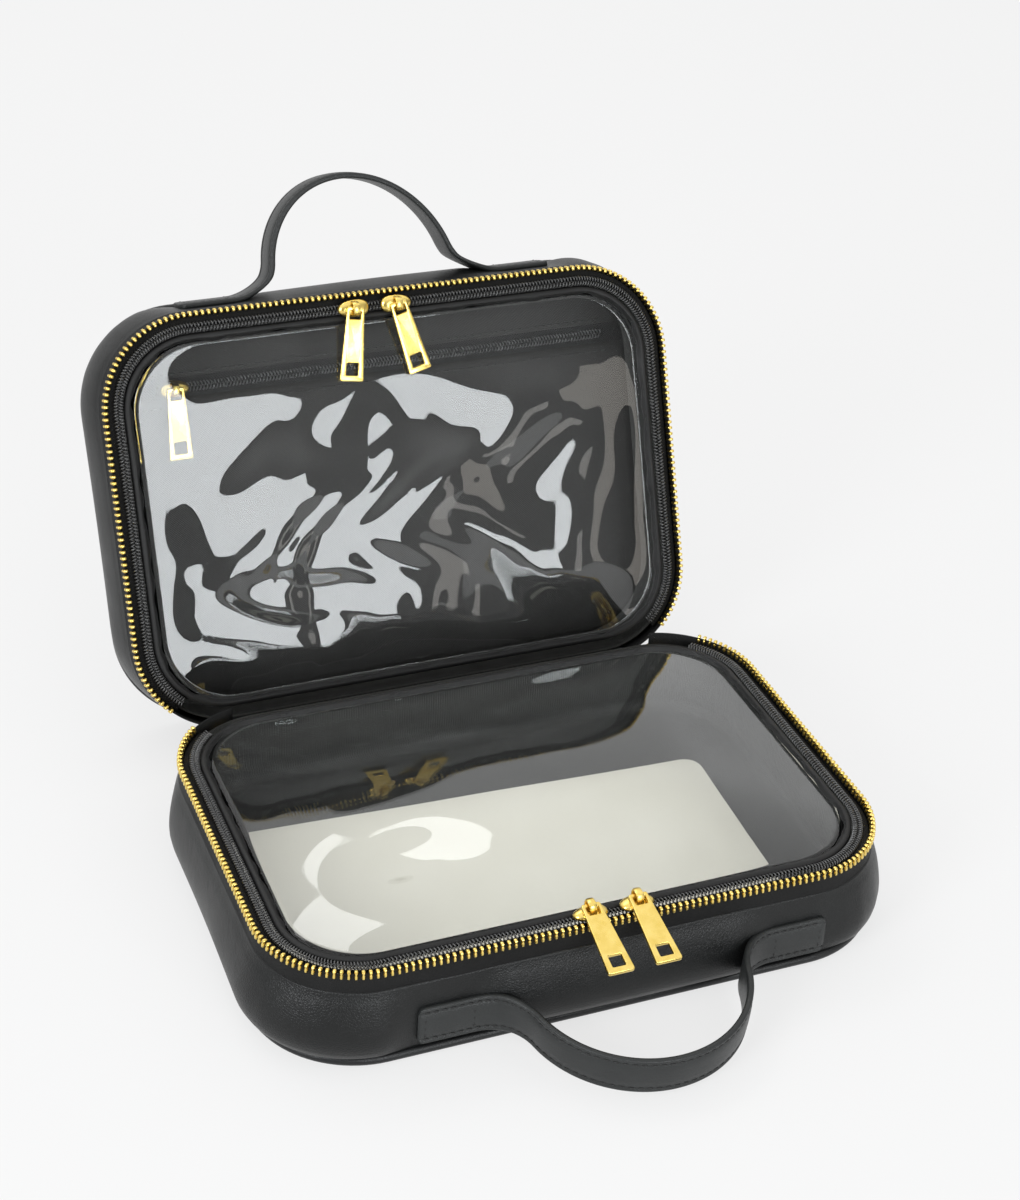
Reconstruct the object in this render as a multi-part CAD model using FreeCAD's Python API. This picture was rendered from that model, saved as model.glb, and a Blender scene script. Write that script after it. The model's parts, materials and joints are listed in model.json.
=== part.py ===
"""Soft clamshell makeup case: two zipped halves on a leather spine, each with a clear zipped window.

Millimetres. The origin is the middle of the base's underside, +X to the right, +Y to the spine, +Z up.
Each half is built lying on its outer face, with its rim plane at its own height. The lid half is then
turned over onto the base and opened about the fold.
"""
import FreeCAD, Part
import math
import os

from FreeCAD import Placement, Rotation, Vector

os.makedirs("parts", exist_ok=True)

# Overall sizes
WIDTH = 240.0
DEPTH = 168.0
CORNER = 38.0
BASE_HEIGHT = 42.0
LID_HEIGHT = 38.0
FOLD_DROP = 19.0
TABLE_GAP = 0.3

# Panels, walls and linings
PANEL_THICK = 3.0
LINING_THICK = 1.0
PIPING_PROUD = 1.5
PIPING_WIDTH = 4.5
PIPING_ROUND = 1.6
GUSSET_THICK = 2.5
WALL_LINING_THICK = 0.8
FACING_THICK = 0.8
FACING_START = 10.0
FACING_BELOW_WINDOW = 0.2
SPINE_THICK = 2.2
SPINE_SIDE_GAP = 4.0
SPINE_FOLD_GAP = 0.3

# Main zip round three sides
MAIN_ZIP_RISE = 12.0
ZIP_END_INSET = 9.0
TAPE_INSET = 0.4
TAPE_THICK = 0.8
TOOTH_PITCH = 2.5
TOOTH_LENGTH = 1.3
TOOTH_WIDTH = 2.4
TOOTH_HEIGHT = 3.0
TOOTH_BELOW_RIM = 0.2

# Window coil zip
COIL_SPLIT = 0.2
COIL_WIDTH = 1.7
COIL_HEIGHT = 2.0
COIL_BELOW_RIM = 2.0
COIL_TAPE_GAP = 0.2
COIL_TAPE_THICK = 0.8
COIL_TAPE_LEG = 0.6

# Clear window and its binding
BORDER_WIDTH = 6.5
BORDER_STEP = 2.1
BORDER_THICK = 1.2
FILM_THICK = 0.6
FILM_STEP = 2.5

# Slider and pull
SLIDER_LENGTH = 10.5
SLIDER_WIDTH = 6.6
SLIDER_TOOTH_GAP = 0.9
SLIDER_PLATE = 2.0
SLIDER_GAP = 0.2
SLIDER_ROUND = 2.2
BRIDGE_WIDTH = 3.0
BRIDGE_SPAN = 6.0
BRIDGE_LEG = 1.1
BRIDGE_TOP = 7.0
TUNNEL_TOP = 6.0
BAR_HEIGHT = 4.2
PULL_LENGTH = 30.0
PULL_THICK = 1.5
PULL_EYE_WIDTH = 7.2
PULL_END_WIDTH = 10.0
EYE_CLEARANCE = 0.9
EYE_LENGTH = 4.8
PULL_WINDOW = 5.0
PULL_WINDOW_EDGE = 2.4
PULL_ROUND = 1.0

# Where the sliders stand and how their pulls lie
BASE_SLIDER_X = (-6.0, 12.0)
LID_SLIDER_X = (-15.0, 3.0)
LID_PULL_LEAN = (-9.0, 14.0)
BASE_PULL_SLOPE = 14.0
LID_PULL_SLOPE = 3.0
MAIN_SLIDER_TURN = 70.0
MAIN_SLIDER_RISE = 8.0
MAIN_BLOCK_THICK = 3.6

# Pocket in the lid
POCKET_INSET = 4.5
POCKET_ZIP_Y = -52.0
POCKET_TAPE_WIDTH = 8.0
POCKET_PANEL_THICK = 1.0
POCKET_TAPE_THICK = 0.8
POCKET_COIL_WIDTH = 2.8
POCKET_COIL_HEIGHT = 1.6
POCKET_COIL_X = (-92.0, 104.0)
POCKET_SLIDER_X = -85.0
POCKET_PULL_SLOPE = 8.0

# Handles
BASE_HANDLE_X = 7.0
LID_HANDLE_X = -2.0
HANDLE_TAB_START = 57.5
HANDLE_TAB_LENGTH = 21.5
HANDLE_REACH = 47.0
STRAP_THICK = 2.4
STRAP_WIDTH = 16.0
STRAP_FOOT_RADIUS = 18.0
STRAP_SPLIT_RISE = 2.3
STRAP_SPLIT_GAP = 0.3
STRAP_SWING = 36.0
STRAP_WALL_GAP = 0.5
HANDLE_MIDDLE = 14.0
BASE_HANDLE_SAG = 6.5

# Loose card on the base's floor
CARD_X = -6.0
CARD_SIDE_GAP = 22.0
CARD_FRONT_GAP = 18.0
CARD_BACK_GAP = 40.0
CARD_THICK = 0.8
CARD_ROUND = 8.0
CARD_TURN = -2.5

# Places that follow from the sizes above
LARGE = 2 * (WIDTH + DEPTH)
TOLERANCE = 0.01
X_AXIS = Vector(1, 0, 0)
Y_AXIS = Vector(0, 1, 0)
Z_AXIS = Vector(0, 0, 1)
STRAIGHT_X = WIDTH / 2 - CORNER
STRAIGHT_Y = DEPTH / 2 - CORNER
FLOOR_TOP = PANEL_THICK + LINING_THICK
LINING_INSET = GUSSET_THICK + WALL_LINING_THICK
ZIP_END_Y = DEPTH / 2 - ZIP_END_INSET
TOOTH_CENTRE = TAPE_INSET + TAPE_THICK / 2
COIL_CENTRE = TOOTH_CENTRE + TOOTH_WIDTH / 2 + SLIDER_TOOTH_GAP + SLIDER_WIDTH / 2
COIL_TAPE_INSET = TAPE_INSET + TAPE_THICK + COIL_TAPE_GAP
OUTER_COIL = (COIL_CENTRE - COIL_SPLIT / 2 - COIL_WIDTH, COIL_CENTRE - COIL_SPLIT / 2)
INNER_COIL = (COIL_CENTRE + COIL_SPLIT / 2, COIL_CENTRE + COIL_SPLIT / 2 + COIL_WIDTH)
WINDOW_INSET = INNER_COIL[0]
BORDER_END = WINDOW_INSET + BORDER_WIDTH
FILM_INSET = WINDOW_INSET + FILM_STEP
CLOSED_HEIGHT = BASE_HEIGHT + LID_HEIGHT
FOLD_Y = DEPTH / 2
FOLD_Z = BASE_HEIGHT - FOLD_DROP
FOLD_POINT = Vector(0, FOLD_Y, FOLD_Z)

# The lid leans back until its outer back edge comes down to the table
EDGE_BACK = DEPTH / 2 + PIPING_PROUD - FOLD_Y
EDGE_UP = CLOSED_HEIGHT - FOLD_Z
EDGE_REACH = math.hypot(EDGE_BACK, EDGE_UP)
OPEN_ANGLE = math.degrees(math.atan2(EDGE_UP, EDGE_BACK) + math.asin((FOLD_Z - TABLE_GAP) / EDGE_REACH))


def rounded_face(width, depth, radius, z):
    """Flat rounded rectangle about the Z axis."""
    x = width / 2
    y = depth / 2
    cx = x - radius
    cy = y - radius
    slant = radius * math.sqrt(0.5)
    edges = []
    for turn in range(4):
        flip = turn % 2
        across, along = (y, cx) if flip else (x, cy)
        centre_across, centre_along = (cy, cx) if flip else (cx, cy)
        start = Vector(across, -along, z)
        end = Vector(across, along, z)
        middle = Vector(centre_across + slant, centre_along + slant, z)
        last = Vector(centre_across, centre_along + radius, z)
        side = [Part.LineSegment(start, end).toShape(), Part.Arc(end, middle, last).toShape()]
        for edge in side:
            edge.rotate(Vector(0, 0, 0), Z_AXIS, 90 * turn)
        edges += side
    return Part.Face(Part.Wire(edges))


def slab(inset, z0, z1):
    """Rounded plate whose edge lies inset from the wall's outside."""
    face = rounded_face(WIDTH - 2 * inset, DEPTH - 2 * inset, CORNER - inset, z0)
    return face.extrude(Vector(0, 0, z1 - z0))


def ring(outer, inner, z0, z1):
    """Rounded frame between two insets."""
    return slab(outer, z0, z1).cut(slab(inner, z0, z1))


def block(x0, x1, y0, y1, z0, z1):
    return Part.makeBox(x1 - x0, y1 - y0, z1 - z0, Vector(x0, y0, z0))


def brick(length, width, z0, z1):
    """Block whose middle is on the Z axis."""
    return block(-length / 2, length / 2, -width / 2, width / 2, z0, z1)


def behind(y, z):
    """Everything to the back of y and above z."""
    return block(-LARGE, LARGE, y, LARGE, z, LARGE)


def round_upright(shape, radius):
    """Round the edges that stand along Z."""
    upright = [e for e in shape.Edges if abs(e.tangentAt(e.FirstParameter).z) > 1 - TOLERANCE]
    return shape.makeFillet(radius, upright)


def stand(shape, origin, y_axis, z_axis):
    """Move a piece from its own axes to a place on the case."""
    x_axis = y_axis.cross(z_axis)
    moved = shape.copy()
    moved.Placement = Placement(origin, Rotation(x_axis, y_axis, z_axis, "ZYX")).multiply(moved.Placement)
    return moved


# Each half: wall, linings and zip tapes

def half_wall(height):
    back_top = height - FOLD_DROP
    wall = ring(0, GUSSET_THICK, FLOOR_TOP, height - MAIN_ZIP_RISE)
    return wall.cut(behind(ZIP_END_Y, back_top))


def half_piping():
    piping = ring(-PIPING_PROUD, PIPING_WIDTH - PIPING_PROUD, 0, FLOOR_TOP)
    rim = [e for e in piping.Edges if e.BoundBox.ZLength < TOLERANCE and on_outside(e)]
    return piping.makeFillet(PIPING_ROUND, rim)


def on_outside(edge):
    point = edge.valueAt((edge.FirstParameter + edge.LastParameter) / 2)
    over_x = abs(point.x) - STRAIGHT_X
    over_y = abs(point.y) - STRAIGHT_Y
    reach = math.hypot(max(over_x, 0), max(over_y, 0))
    return reach > CORNER


def half_wall_lining(height):
    lining = ring(GUSSET_THICK, LINING_INSET, FLOOR_TOP, height - MAIN_ZIP_RISE)
    return lining.cut(behind(ZIP_END_Y, height - FOLD_DROP))


def half_facing(height):
    """Strip behind the window's back edge, which the window is sewn to."""
    y1 = DEPTH / 2 - LINING_INSET
    top = coil_base(height) - COIL_TAPE_THICK - FACING_BELOW_WINDOW
    return block(-STRAIGHT_X, STRAIGHT_X, y1 - FACING_THICK, y1, FACING_START, top)


def half_main_tape(height):
    tooth_base = height - TOOTH_BELOW_RIM - TOOTH_HEIGHT
    tape = ring(TAPE_INSET, TAPE_INSET + TAPE_THICK, height - MAIN_ZIP_RISE, tooth_base)
    return tape.cut(behind(ZIP_END_Y, 0))


def zip_length():
    turn = math.asin((ZIP_END_Y - STRAIGHT_Y) / CORNER)
    return STRAIGHT_X + 2 * STRAIGHT_Y + CORNER * (math.pi / 2 + turn)


def zip_point(run, inset):
    """Place and heading on the right half of the zip, run millimetres from the front middle."""
    radius = CORNER - inset
    quarter = CORNER * math.pi / 2
    if run < STRAIGHT_X:
        return Vector(run, inset - DEPTH / 2, 0), 0.0
    run -= STRAIGHT_X
    if run < quarter:
        turn = run / CORNER
        place = Vector(STRAIGHT_X + radius * math.sin(turn), -STRAIGHT_Y - radius * math.cos(turn), 0)
        return place, math.degrees(turn)
    run -= quarter
    if run < 2 * STRAIGHT_Y:
        return Vector(WIDTH / 2 - inset, run - STRAIGHT_Y, 0), 90.0
    turn = (run - 2 * STRAIGHT_Y) / CORNER
    place = Vector(STRAIGHT_X + radius * math.cos(turn), STRAIGHT_Y + radius * math.sin(turn), 0)
    return place, 90.0 + math.degrees(turn)


def half_main_teeth(height):
    top = height - TOOTH_BELOW_RIM
    tooth = brick(TOOTH_LENGTH, TOOTH_WIDTH, top - TOOTH_HEIGHT, top)
    teeth = []
    for index in range(int(zip_length() / TOOTH_PITCH - 0.5)):
        place, heading = zip_point((index + 0.5) * TOOTH_PITCH, TOOTH_CENTRE)
        for side in (1, -1):
            copy = tooth.copy()
            copy.rotate(Vector(0, 0, 0), Z_AXIS, side * heading)
            copy.translate(Vector(side * place.x, place.y, 0))
            teeth.append(copy)
    return Part.makeCompound(teeth)


def coil_base(height):
    """Height of the coil's underside."""
    return height - COIL_BELOW_RIM - COIL_HEIGHT


def half_coil_tape(height):
    top = coil_base(height)
    under = top - COIL_TAPE_THICK
    flat = ring(COIL_TAPE_INSET, OUTER_COIL[1], under, top)
    leg = ring(COIL_TAPE_INSET, COIL_TAPE_INSET + COIL_TAPE_LEG, height - MAIN_ZIP_RISE, under)
    return flat.fuse(leg).removeSplitter().cut(behind(ZIP_END_Y, 0))


def half_coil(height, insets):
    bead = ring(insets[0], insets[1], coil_base(height), coil_base(height) + COIL_HEIGHT)
    return bead.cut(behind(ZIP_END_Y, 0))


def half_border(height):
    z = coil_base(height)
    plate = ring(WINDOW_INSET, BORDER_END, z - COIL_TAPE_THICK, z)
    strip = ring(WINDOW_INSET + BORDER_STEP, BORDER_END, z, z + BORDER_THICK)
    return plate.fuse(strip).removeSplitter()


def half_film(height):
    top = coil_base(height) - COIL_TAPE_THICK
    return slab(FILM_INSET, top - FILM_THICK, top)


# Slider and pull, with Y along the lie of the pull and Z away from the coil

def slider():
    top = SLIDER_GAP + SLIDER_PLATE
    plate = round_upright(brick(SLIDER_LENGTH, SLIDER_WIDTH, SLIDER_GAP, top), SLIDER_ROUND)
    bridge = brick(BRIDGE_WIDTH, BRIDGE_SPAN, top, BRIDGE_TOP)
    tunnel = brick(SLIDER_LENGTH, BRIDGE_SPAN - 2 * BRIDGE_LEG, top, TUNNEL_TOP)
    return plate.fuse(bridge.cut(tunnel)).removeSplitter()


def pull():
    """Flat tapered tab about its bar, with an eye for the bridge and a square window at its far end."""
    near = -PULL_THICK / 2
    far = near + PULL_LENGTH
    eye = PULL_EYE_WIDTH / 2
    end = PULL_END_WIDTH / 2
    corners = [Vector(-eye, near, 0), Vector(eye, near, 0), Vector(end, far, 0), Vector(-end, far, 0)]
    plate = Part.Face(Part.makePolygon(corners + corners[:1])).extrude(Vector(0, 0, PULL_THICK))
    plate = round_upright(plate, PULL_ROUND)
    slot = BRIDGE_WIDTH / 2 + EYE_CLEARANCE
    hole_end = far - PULL_WINDOW_EDGE
    plate = plate.cut(block(-slot, slot, PULL_THICK / 2, EYE_LENGTH, 0, PULL_THICK))
    half = PULL_WINDOW / 2
    plate = plate.cut(block(-half, half, hole_end - PULL_WINDOW, hole_end, 0, PULL_THICK))
    plate.translate(Vector(0, 0, -PULL_THICK / 2))
    return plate


def lying_pull(origin, lie, up, slope, lean=0.0):
    """A pull on its bar: it lies along lie, dips by slope and leans sideways."""
    tab = pull()
    tab.rotate(Vector(0, 0, 0), X_AXIS, -slope)
    tab.rotate(Vector(0, 0, 0), Z_AXIS, lean)
    return stand(tab, origin + up * (SLIDER_GAP + BAR_HEIGHT), lie, up)


def main_slider():
    """Slider of the main zip, with the block that stands on the wall's top edge."""
    half = SLIDER_LENGTH / 2
    foot = block(-half, half, -SLIDER_WIDTH / 2, MAIN_SLIDER_RISE, -MAIN_BLOCK_THICK, SLIDER_GAP)
    return slider().fuse(foot).removeSplitter()


# Handle, built flat on the front wall, with Y as the reach and Z as the strap's width

def strap_profile():
    """Outline of the whole strap: two flat tabs, two feet and the arch, as lines and tangent arcs."""
    half = STRAP_THICK / 2
    turn = 2 * math.atan((HANDLE_REACH - STRAP_THICK) / HANDLE_TAB_START)
    both = HANDLE_TAB_START / math.sin(turn)
    top_radius = both - STRAP_FOOT_RADIUS
    foot_middle = Vector(HANDLE_TAB_START, half + STRAP_FOOT_RADIUS, 0)
    top_middle = Vector(0, half + STRAP_FOOT_RADIUS - both * math.cos(turn), 0)
    tab_end = HANDLE_TAB_START + HANDLE_TAB_LENGTH

    def foot(radius, angle):
        return foot_middle + Vector(-math.sin(angle), -math.cos(angle), 0) * radius

    def top(radius, angle):
        return top_middle + Vector(math.sin(angle), math.cos(angle), 0) * radius

    def line(start, end):
        return Part.LineSegment(start, end).toShape()

    def arc(point, radius):
        return Part.Arc(point(radius, 0), point(radius, turn / 2), point(radius, turn)).toShape()

    def edge_run(offset):
        foot_radius = STRAP_FOOT_RADIUS - offset
        run = [line(Vector(tab_end, half + offset, 0), foot(foot_radius, 0))]
        run += [arc(foot, foot_radius), arc(top, top_radius + offset)]
        return run + [edge.mirror(Vector(0, 0, 0), X_AXIS) for edge in run]

    ends = [line(Vector(x, 0, 0), Vector(x, STRAP_THICK, 0)) for x in (tab_end, -tab_end)]
    edges = edge_run(half) + edge_run(-half) + ends
    return Part.Face(Part.Wire(Part.__sortEdges__(edges)))


def strap_split():
    """Half-width at which the sewn tab ends and the free strap begins."""
    return HANDLE_TAB_START - math.sqrt(2 * STRAP_FOOT_RADIUS * STRAP_SPLIT_RISE)


def whole_strap():
    band = strap_profile().extrude(Vector(0, 0, STRAP_WIDTH))
    band.translate(Vector(0, 0, -STRAP_WIDTH / 2))
    return band


def handle_tabs():
    split = strap_split()
    return whole_strap().cut(block(-split, split, -LARGE, LARGE, -LARGE, LARGE))


def handle_strap():
    """The free strap, narrowed towards its ends so that it can swing clear of the wall."""
    free = strap_split() - STRAP_SPLIT_GAP
    half = STRAP_WIDTH / 2
    full = STRAP_WALL_GAP + half * math.tan(math.radians(STRAP_SWING))
    reach = 2 * HANDLE_REACH
    outline = [(STRAP_WALL_GAP, 0), (full, half), (reach, half), (reach, -half), (full, -half)]
    points = [Vector(-free, y, z) for y, z in outline]
    wedge = Part.Face(Part.makePolygon(points + points[:1])).extrude(Vector(2 * free, 0, 0))
    return whole_strap().common(wedge)


def on_front(shape, x, swing=0.0):
    """Set a handle piece on the front wall about x, swung down by an angle."""
    place = Vector(x, -DEPTH / 2, HANDLE_MIDDLE)
    moved = stand(shape, place, Vector(0, -1, 0), Z_AXIS)
    moved.rotate(place, X_AXIS, swing)
    return moved


# Turn a half over onto the base and open it

def opened(shape):
    turned = shape.copy()
    turned.rotate(FOLD_POINT, X_AXIS, -OPEN_ANGLE)
    return turned


def as_lid(shape):
    return opened(shape.mirror(Vector(0, 0, CLOSED_HEIGHT / 2), Z_AXIS))


def half_pieces(name, height, handle_x):
    """Pieces that both halves have, lying on their outer face."""
    return {
        name + "_outer_panel": slab(PIPING_WIDTH - PIPING_PROUD, 0, PANEL_THICK),
        name + "_edge_piping": half_piping(),
        name + "_gusset": half_wall(height),
        name + "_panel_lining": slab(PIPING_WIDTH - PIPING_PROUD, PANEL_THICK, FLOOR_TOP),
        name + "_wall_lining": half_wall_lining(height),
        name + "_back_facing": half_facing(height),
        name + "_main_tape": half_main_tape(height),
        name + "_main_teeth": half_main_teeth(height),
        name + "_coil_tape": half_coil_tape(height),
        name + "_coil_outer": half_coil(height, OUTER_COIL),
        name + "_coil_inner": half_coil(height, INNER_COIL),
        name + "_window_border": half_border(height),
        name + "_window_film": half_film(height),
        name + "_handle_tabs": on_front(handle_tabs(), handle_x),
    }


def front_slider_place(x, height):
    return Vector(x, COIL_CENTRE - DEPTH / 2, coil_base(height) + COIL_HEIGHT)


def base_pieces():
    pieces = half_pieces("base", BASE_HEIGHT, BASE_HANDLE_X)
    outward = Vector(0, -1, 0)
    for side, x in zip(("left", "right"), BASE_SLIDER_X):
        place = front_slider_place(x, BASE_HEIGHT)
        pieces["base_slider_" + side] = stand(slider(), place, outward, Z_AXIS)
        pieces["base_pull_" + side] = lying_pull(place, outward, Z_AXIS, BASE_PULL_SLOPE)
    pieces["base_handle_strap"] = on_front(handle_strap(), BASE_HANDLE_X, BASE_HANDLE_SAG)
    pieces["insert_card"] = insert_card()
    for side, sign in (("left", -1), ("right", 1)):
        place, normal = main_slider_place(sign)
        pieces["main_slider_" + side] = stand(main_slider(), place, Vector(0, 0, -1), normal)
        pieces["main_pull_" + side] = lying_pull(place, Vector(0, 0, -1), normal, 0.0)
    return pieces


def insert_card():
    """Card that lies loose on the floor, a little askew and nearer the front."""
    width = WIDTH - 2 * CARD_SIDE_GAP
    depth = DEPTH - CARD_FRONT_GAP - CARD_BACK_GAP
    card = rounded_face(width, depth, CARD_ROUND, FLOOR_TOP).extrude(Vector(0, 0, CARD_THICK))
    card.rotate(Vector(0, 0, 0), Z_AXIS, CARD_TURN)
    card.translate(Vector(CARD_X, (CARD_FRONT_GAP - CARD_BACK_GAP) / 2, 0))
    return card


def main_slider_place(sign):
    turn = math.radians(MAIN_SLIDER_TURN)
    normal = Vector(sign * math.cos(turn), math.sin(turn), 0)
    middle = Vector(sign * STRAIGHT_X, STRAIGHT_Y, FOLD_Z + MAIN_SLIDER_RISE)
    proud = MAIN_BLOCK_THICK - LINING_INSET
    return middle + normal * (CORNER + proud), normal


def lid_pieces():
    pieces = half_pieces("lid", LID_HEIGHT, LID_HANDLE_X)
    pieces["lid_handle_strap"] = on_front(handle_strap(), LID_HANDLE_X)
    inward = Y_AXIS
    for side, x, lean in zip(("left", "right"), LID_SLIDER_X, LID_PULL_LEAN):
        place = front_slider_place(x, LID_HEIGHT)
        pieces["lid_slider_" + side] = stand(slider(), place, inward, Z_AXIS)
        pieces["lid_pull_" + side] = lying_pull(place, inward, Z_AXIS, LID_PULL_SLOPE, -lean)
    pieces.update(pocket_pieces())
    return pieces


def pocket_pieces():
    low = POCKET_ZIP_Y - POCKET_TAPE_WIDTH / 2
    high = POCKET_ZIP_Y + POCKET_TAPE_WIDTH / 2
    tape_top = FLOOR_TOP + POCKET_TAPE_THICK
    coil_half = POCKET_COIL_WIDTH / 2
    coil_y = (POCKET_ZIP_Y - coil_half, POCKET_ZIP_Y + coil_half)
    coil_top = tape_top + POCKET_COIL_HEIGHT
    place = Vector(POCKET_SLIDER_X, POCKET_ZIP_Y, coil_top)

    def strip(y0, y1, thick):
        sheet = slab(POCKET_INSET, FLOOR_TOP, FLOOR_TOP + thick)
        return sheet.common(block(-LARGE, LARGE, y0, y1, 0, LARGE))

    return {
        "pocket_top_strip": strip(-LARGE, low, POCKET_PANEL_THICK),
        "pocket_panel": strip(high, LARGE, POCKET_PANEL_THICK),
        "pocket_zip_tape": strip(low, high, POCKET_TAPE_THICK),
        "pocket_coil": block(*POCKET_COIL_X, *coil_y, tape_top, coil_top),
        "pocket_slider": stand(slider(), place, Y_AXIS, Z_AXIS),
        "pocket_pull": lying_pull(place, Y_AXIS, Z_AXIS, POCKET_PULL_SLOPE),
    }


def spine_strip():
    """Leather strip that joins the two back walls. It folds at the base wall's top edge."""
    back = DEPTH / 2 - GUSSET_THICK + SPINE_THICK
    side = STRAIGHT_X - SPINE_SIDE_GAP
    low = FOLD_Z + SPINE_FOLD_GAP
    return block(-side, side, back - SPINE_THICK, back, low, BASE_HEIGHT + FOLD_DROP)


def main():
    pieces = base_pieces()
    for name, shape in lid_pieces().items():
        pieces[name] = as_lid(shape)
    pieces["spine_strip"] = opened(spine_strip())
    for name, shape in pieces.items():
        solids = shape.Solids
        state = "valid" if shape.isValid() else "NOT VALID"
        print(name, len(solids), "solids", round(shape.Volume, 1), "mm3", state)
        kept = solids[0] if len(solids) == 1 else Part.makeCompound(solids)
        kept.exportStep("parts/" + name + ".step")
    print("open angle", round(OPEN_ANGLE, 3), "fold", FOLD_Y, FOLD_Z)


main()
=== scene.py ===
# %% [markdown]
# # A soft makeup case, dressed around its measured frame
# The case is two shallow leather halves on a folding spine. Each half has a gold zip round its rim and a
# clear zipped window. The measured frame gives every place; this lesson builds what the eye sees.

# %% Load the frame
import json
import math

import bmesh
import bpy
import numpy as np
from mathutils import Matrix, Vector


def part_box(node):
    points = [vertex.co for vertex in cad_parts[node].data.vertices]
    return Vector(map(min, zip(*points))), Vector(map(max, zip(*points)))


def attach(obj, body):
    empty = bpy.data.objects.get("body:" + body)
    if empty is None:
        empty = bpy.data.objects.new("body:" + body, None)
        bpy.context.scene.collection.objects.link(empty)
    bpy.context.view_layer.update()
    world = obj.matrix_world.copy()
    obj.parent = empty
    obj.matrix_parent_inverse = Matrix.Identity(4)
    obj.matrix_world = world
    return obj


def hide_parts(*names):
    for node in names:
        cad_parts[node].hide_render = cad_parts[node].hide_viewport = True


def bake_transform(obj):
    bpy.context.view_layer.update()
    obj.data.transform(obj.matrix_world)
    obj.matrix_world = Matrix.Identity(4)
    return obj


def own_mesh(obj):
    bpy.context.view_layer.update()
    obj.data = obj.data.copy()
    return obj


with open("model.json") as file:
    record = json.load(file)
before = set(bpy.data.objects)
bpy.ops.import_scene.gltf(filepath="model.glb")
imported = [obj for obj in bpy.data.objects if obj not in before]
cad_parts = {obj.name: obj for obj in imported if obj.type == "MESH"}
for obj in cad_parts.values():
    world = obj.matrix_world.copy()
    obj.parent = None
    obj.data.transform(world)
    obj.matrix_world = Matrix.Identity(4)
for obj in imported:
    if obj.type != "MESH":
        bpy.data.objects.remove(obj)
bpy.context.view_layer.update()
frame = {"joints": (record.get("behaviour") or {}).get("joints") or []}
joints = {joint["name"]: joint for joint in frame["joints"]}

# %% [markdown]
# ## Sizes
# All sizes below are in millimetres, and each half is drawn lying on its outer face with its rim up. The
# frame gives the outline, the fold and the angle at which the lid leans back.

# %% Sizes from the frame
MM = 0.001
CORNER = 38.0
LID_HEIGHT = 38.0
TOOTH_BELOW_RIM = 0.2
HANDLE_MIDDLE = 14.0
low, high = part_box("base_gusset")
WIDTH = (high.x - low.x) / MM
DEPTH = (high.y - low.y) / MM
BASE_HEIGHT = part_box("base_main_teeth")[1].z / MM + TOOTH_BELOW_RIM
HEIGHT = {"base": BASE_HEIGHT, "lid": LID_HEIGHT}
CLOSED_HEIGHT = BASE_HEIGHT + LID_HEIGHT
FOLD_Y, FOLD_Z = (value / MM for value in joints["lid_hinge"]["pos_m"][1:])
FOLD_DROP = BASE_HEIGHT - FOLD_Z

swing = joints["lid_handle_swing"]["pos_m"]
closed_way = math.atan2(CLOSED_HEIGHT - HANDLE_MIDDLE - FOLD_Z, -DEPTH / 2 - FOLD_Y)
open_way = math.atan2(swing[2] / MM - FOLD_Z, swing[1] / MM - FOLD_Y)
OPEN_ANGLE = closed_way - open_way
print("case", round(WIDTH, 2), round(DEPTH, 2), "heights", HEIGHT, "open", round(math.degrees(OPEN_ANGLE), 2))


# %% Place a half on the case
def about_fold(y, z, angle):
    """Turns points of the closed case back about the fold."""
    y, z = y - FOLD_Y, z - FOLD_Z
    return (y * math.cos(angle) + z * math.sin(angle) + FOLD_Y,
            z * math.cos(angle) - y * math.sin(angle) + FOLD_Z)


def on_case(half, points):
    """Millimetres in a half's own axes to metres in the shared frame."""
    points = np.array(points, float).reshape(-1, 3)
    if half == "lid":
        points[:, 1], points[:, 2] = about_fold(points[:, 1], CLOSED_HEIGHT - points[:, 2], OPEN_ANGLE)
    return points * MM


def up_from(half):
    """The direction from a half's outer face to its rim."""
    foot, tip = on_case(half, [(0, 0, 0), (0, 0, 1)])
    return tuple((tip - foot) / MM)


# %% [markdown]
# ## Camera
# The photograph was taken from the front left, looking down by about a third of a right angle. A camera
# fitted to the case's edges gave the place, the roll and the long lens below.

# %% Camera
CAMERA_PLACE = Vector((-290.7, -652.1, 569.0)) * MM
CAMERA_AZIMUTH = math.radians(-23.31)
CAMERA_ELEVATION = math.radians(32.04)
CAMERA_ROLL = math.radians(3.24)
SENSOR = 36.0
FOCAL_PIXELS = 2350.8
PHOTO_HEIGHT = 1200

back = Vector((math.sin(CAMERA_AZIMUTH) * math.cos(CAMERA_ELEVATION),
               -math.cos(CAMERA_AZIMUTH) * math.cos(CAMERA_ELEVATION), math.sin(CAMERA_ELEVATION)))
level = Vector((math.cos(CAMERA_AZIMUTH), math.sin(CAMERA_AZIMUTH), 0))
upward = back.cross(level)
right = level * math.cos(CAMERA_ROLL) + upward * math.sin(CAMERA_ROLL)
upward = upward * math.cos(CAMERA_ROLL) - level * math.sin(CAMERA_ROLL)

camera_data = bpy.data.cameras.new("camera")
camera_data.sensor_fit = "VERTICAL"
camera_data.sensor_height = SENSOR
camera_data.sensor_width = SENSOR
camera_data.lens = SENSOR * (FOCAL_PIXELS / PHOTO_HEIGHT)
camera = bpy.data.objects.new("camera", camera_data)
camera.matrix_world = Matrix((right, upward, back)).transposed().to_4x4()
camera.location = CAMERA_PLACE
bpy.context.scene.collection.objects.link(camera)
bpy.context.scene.camera = camera
print("lens", round(camera_data.lens, 1))


# %% [markdown]
# ## Effects that several finishes share
# Leather grain, woven threads and the uneven shine of handled things appear on many pieces. Each is one
# node group with its own inputs, so every finish can use it at its own scale.

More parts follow.
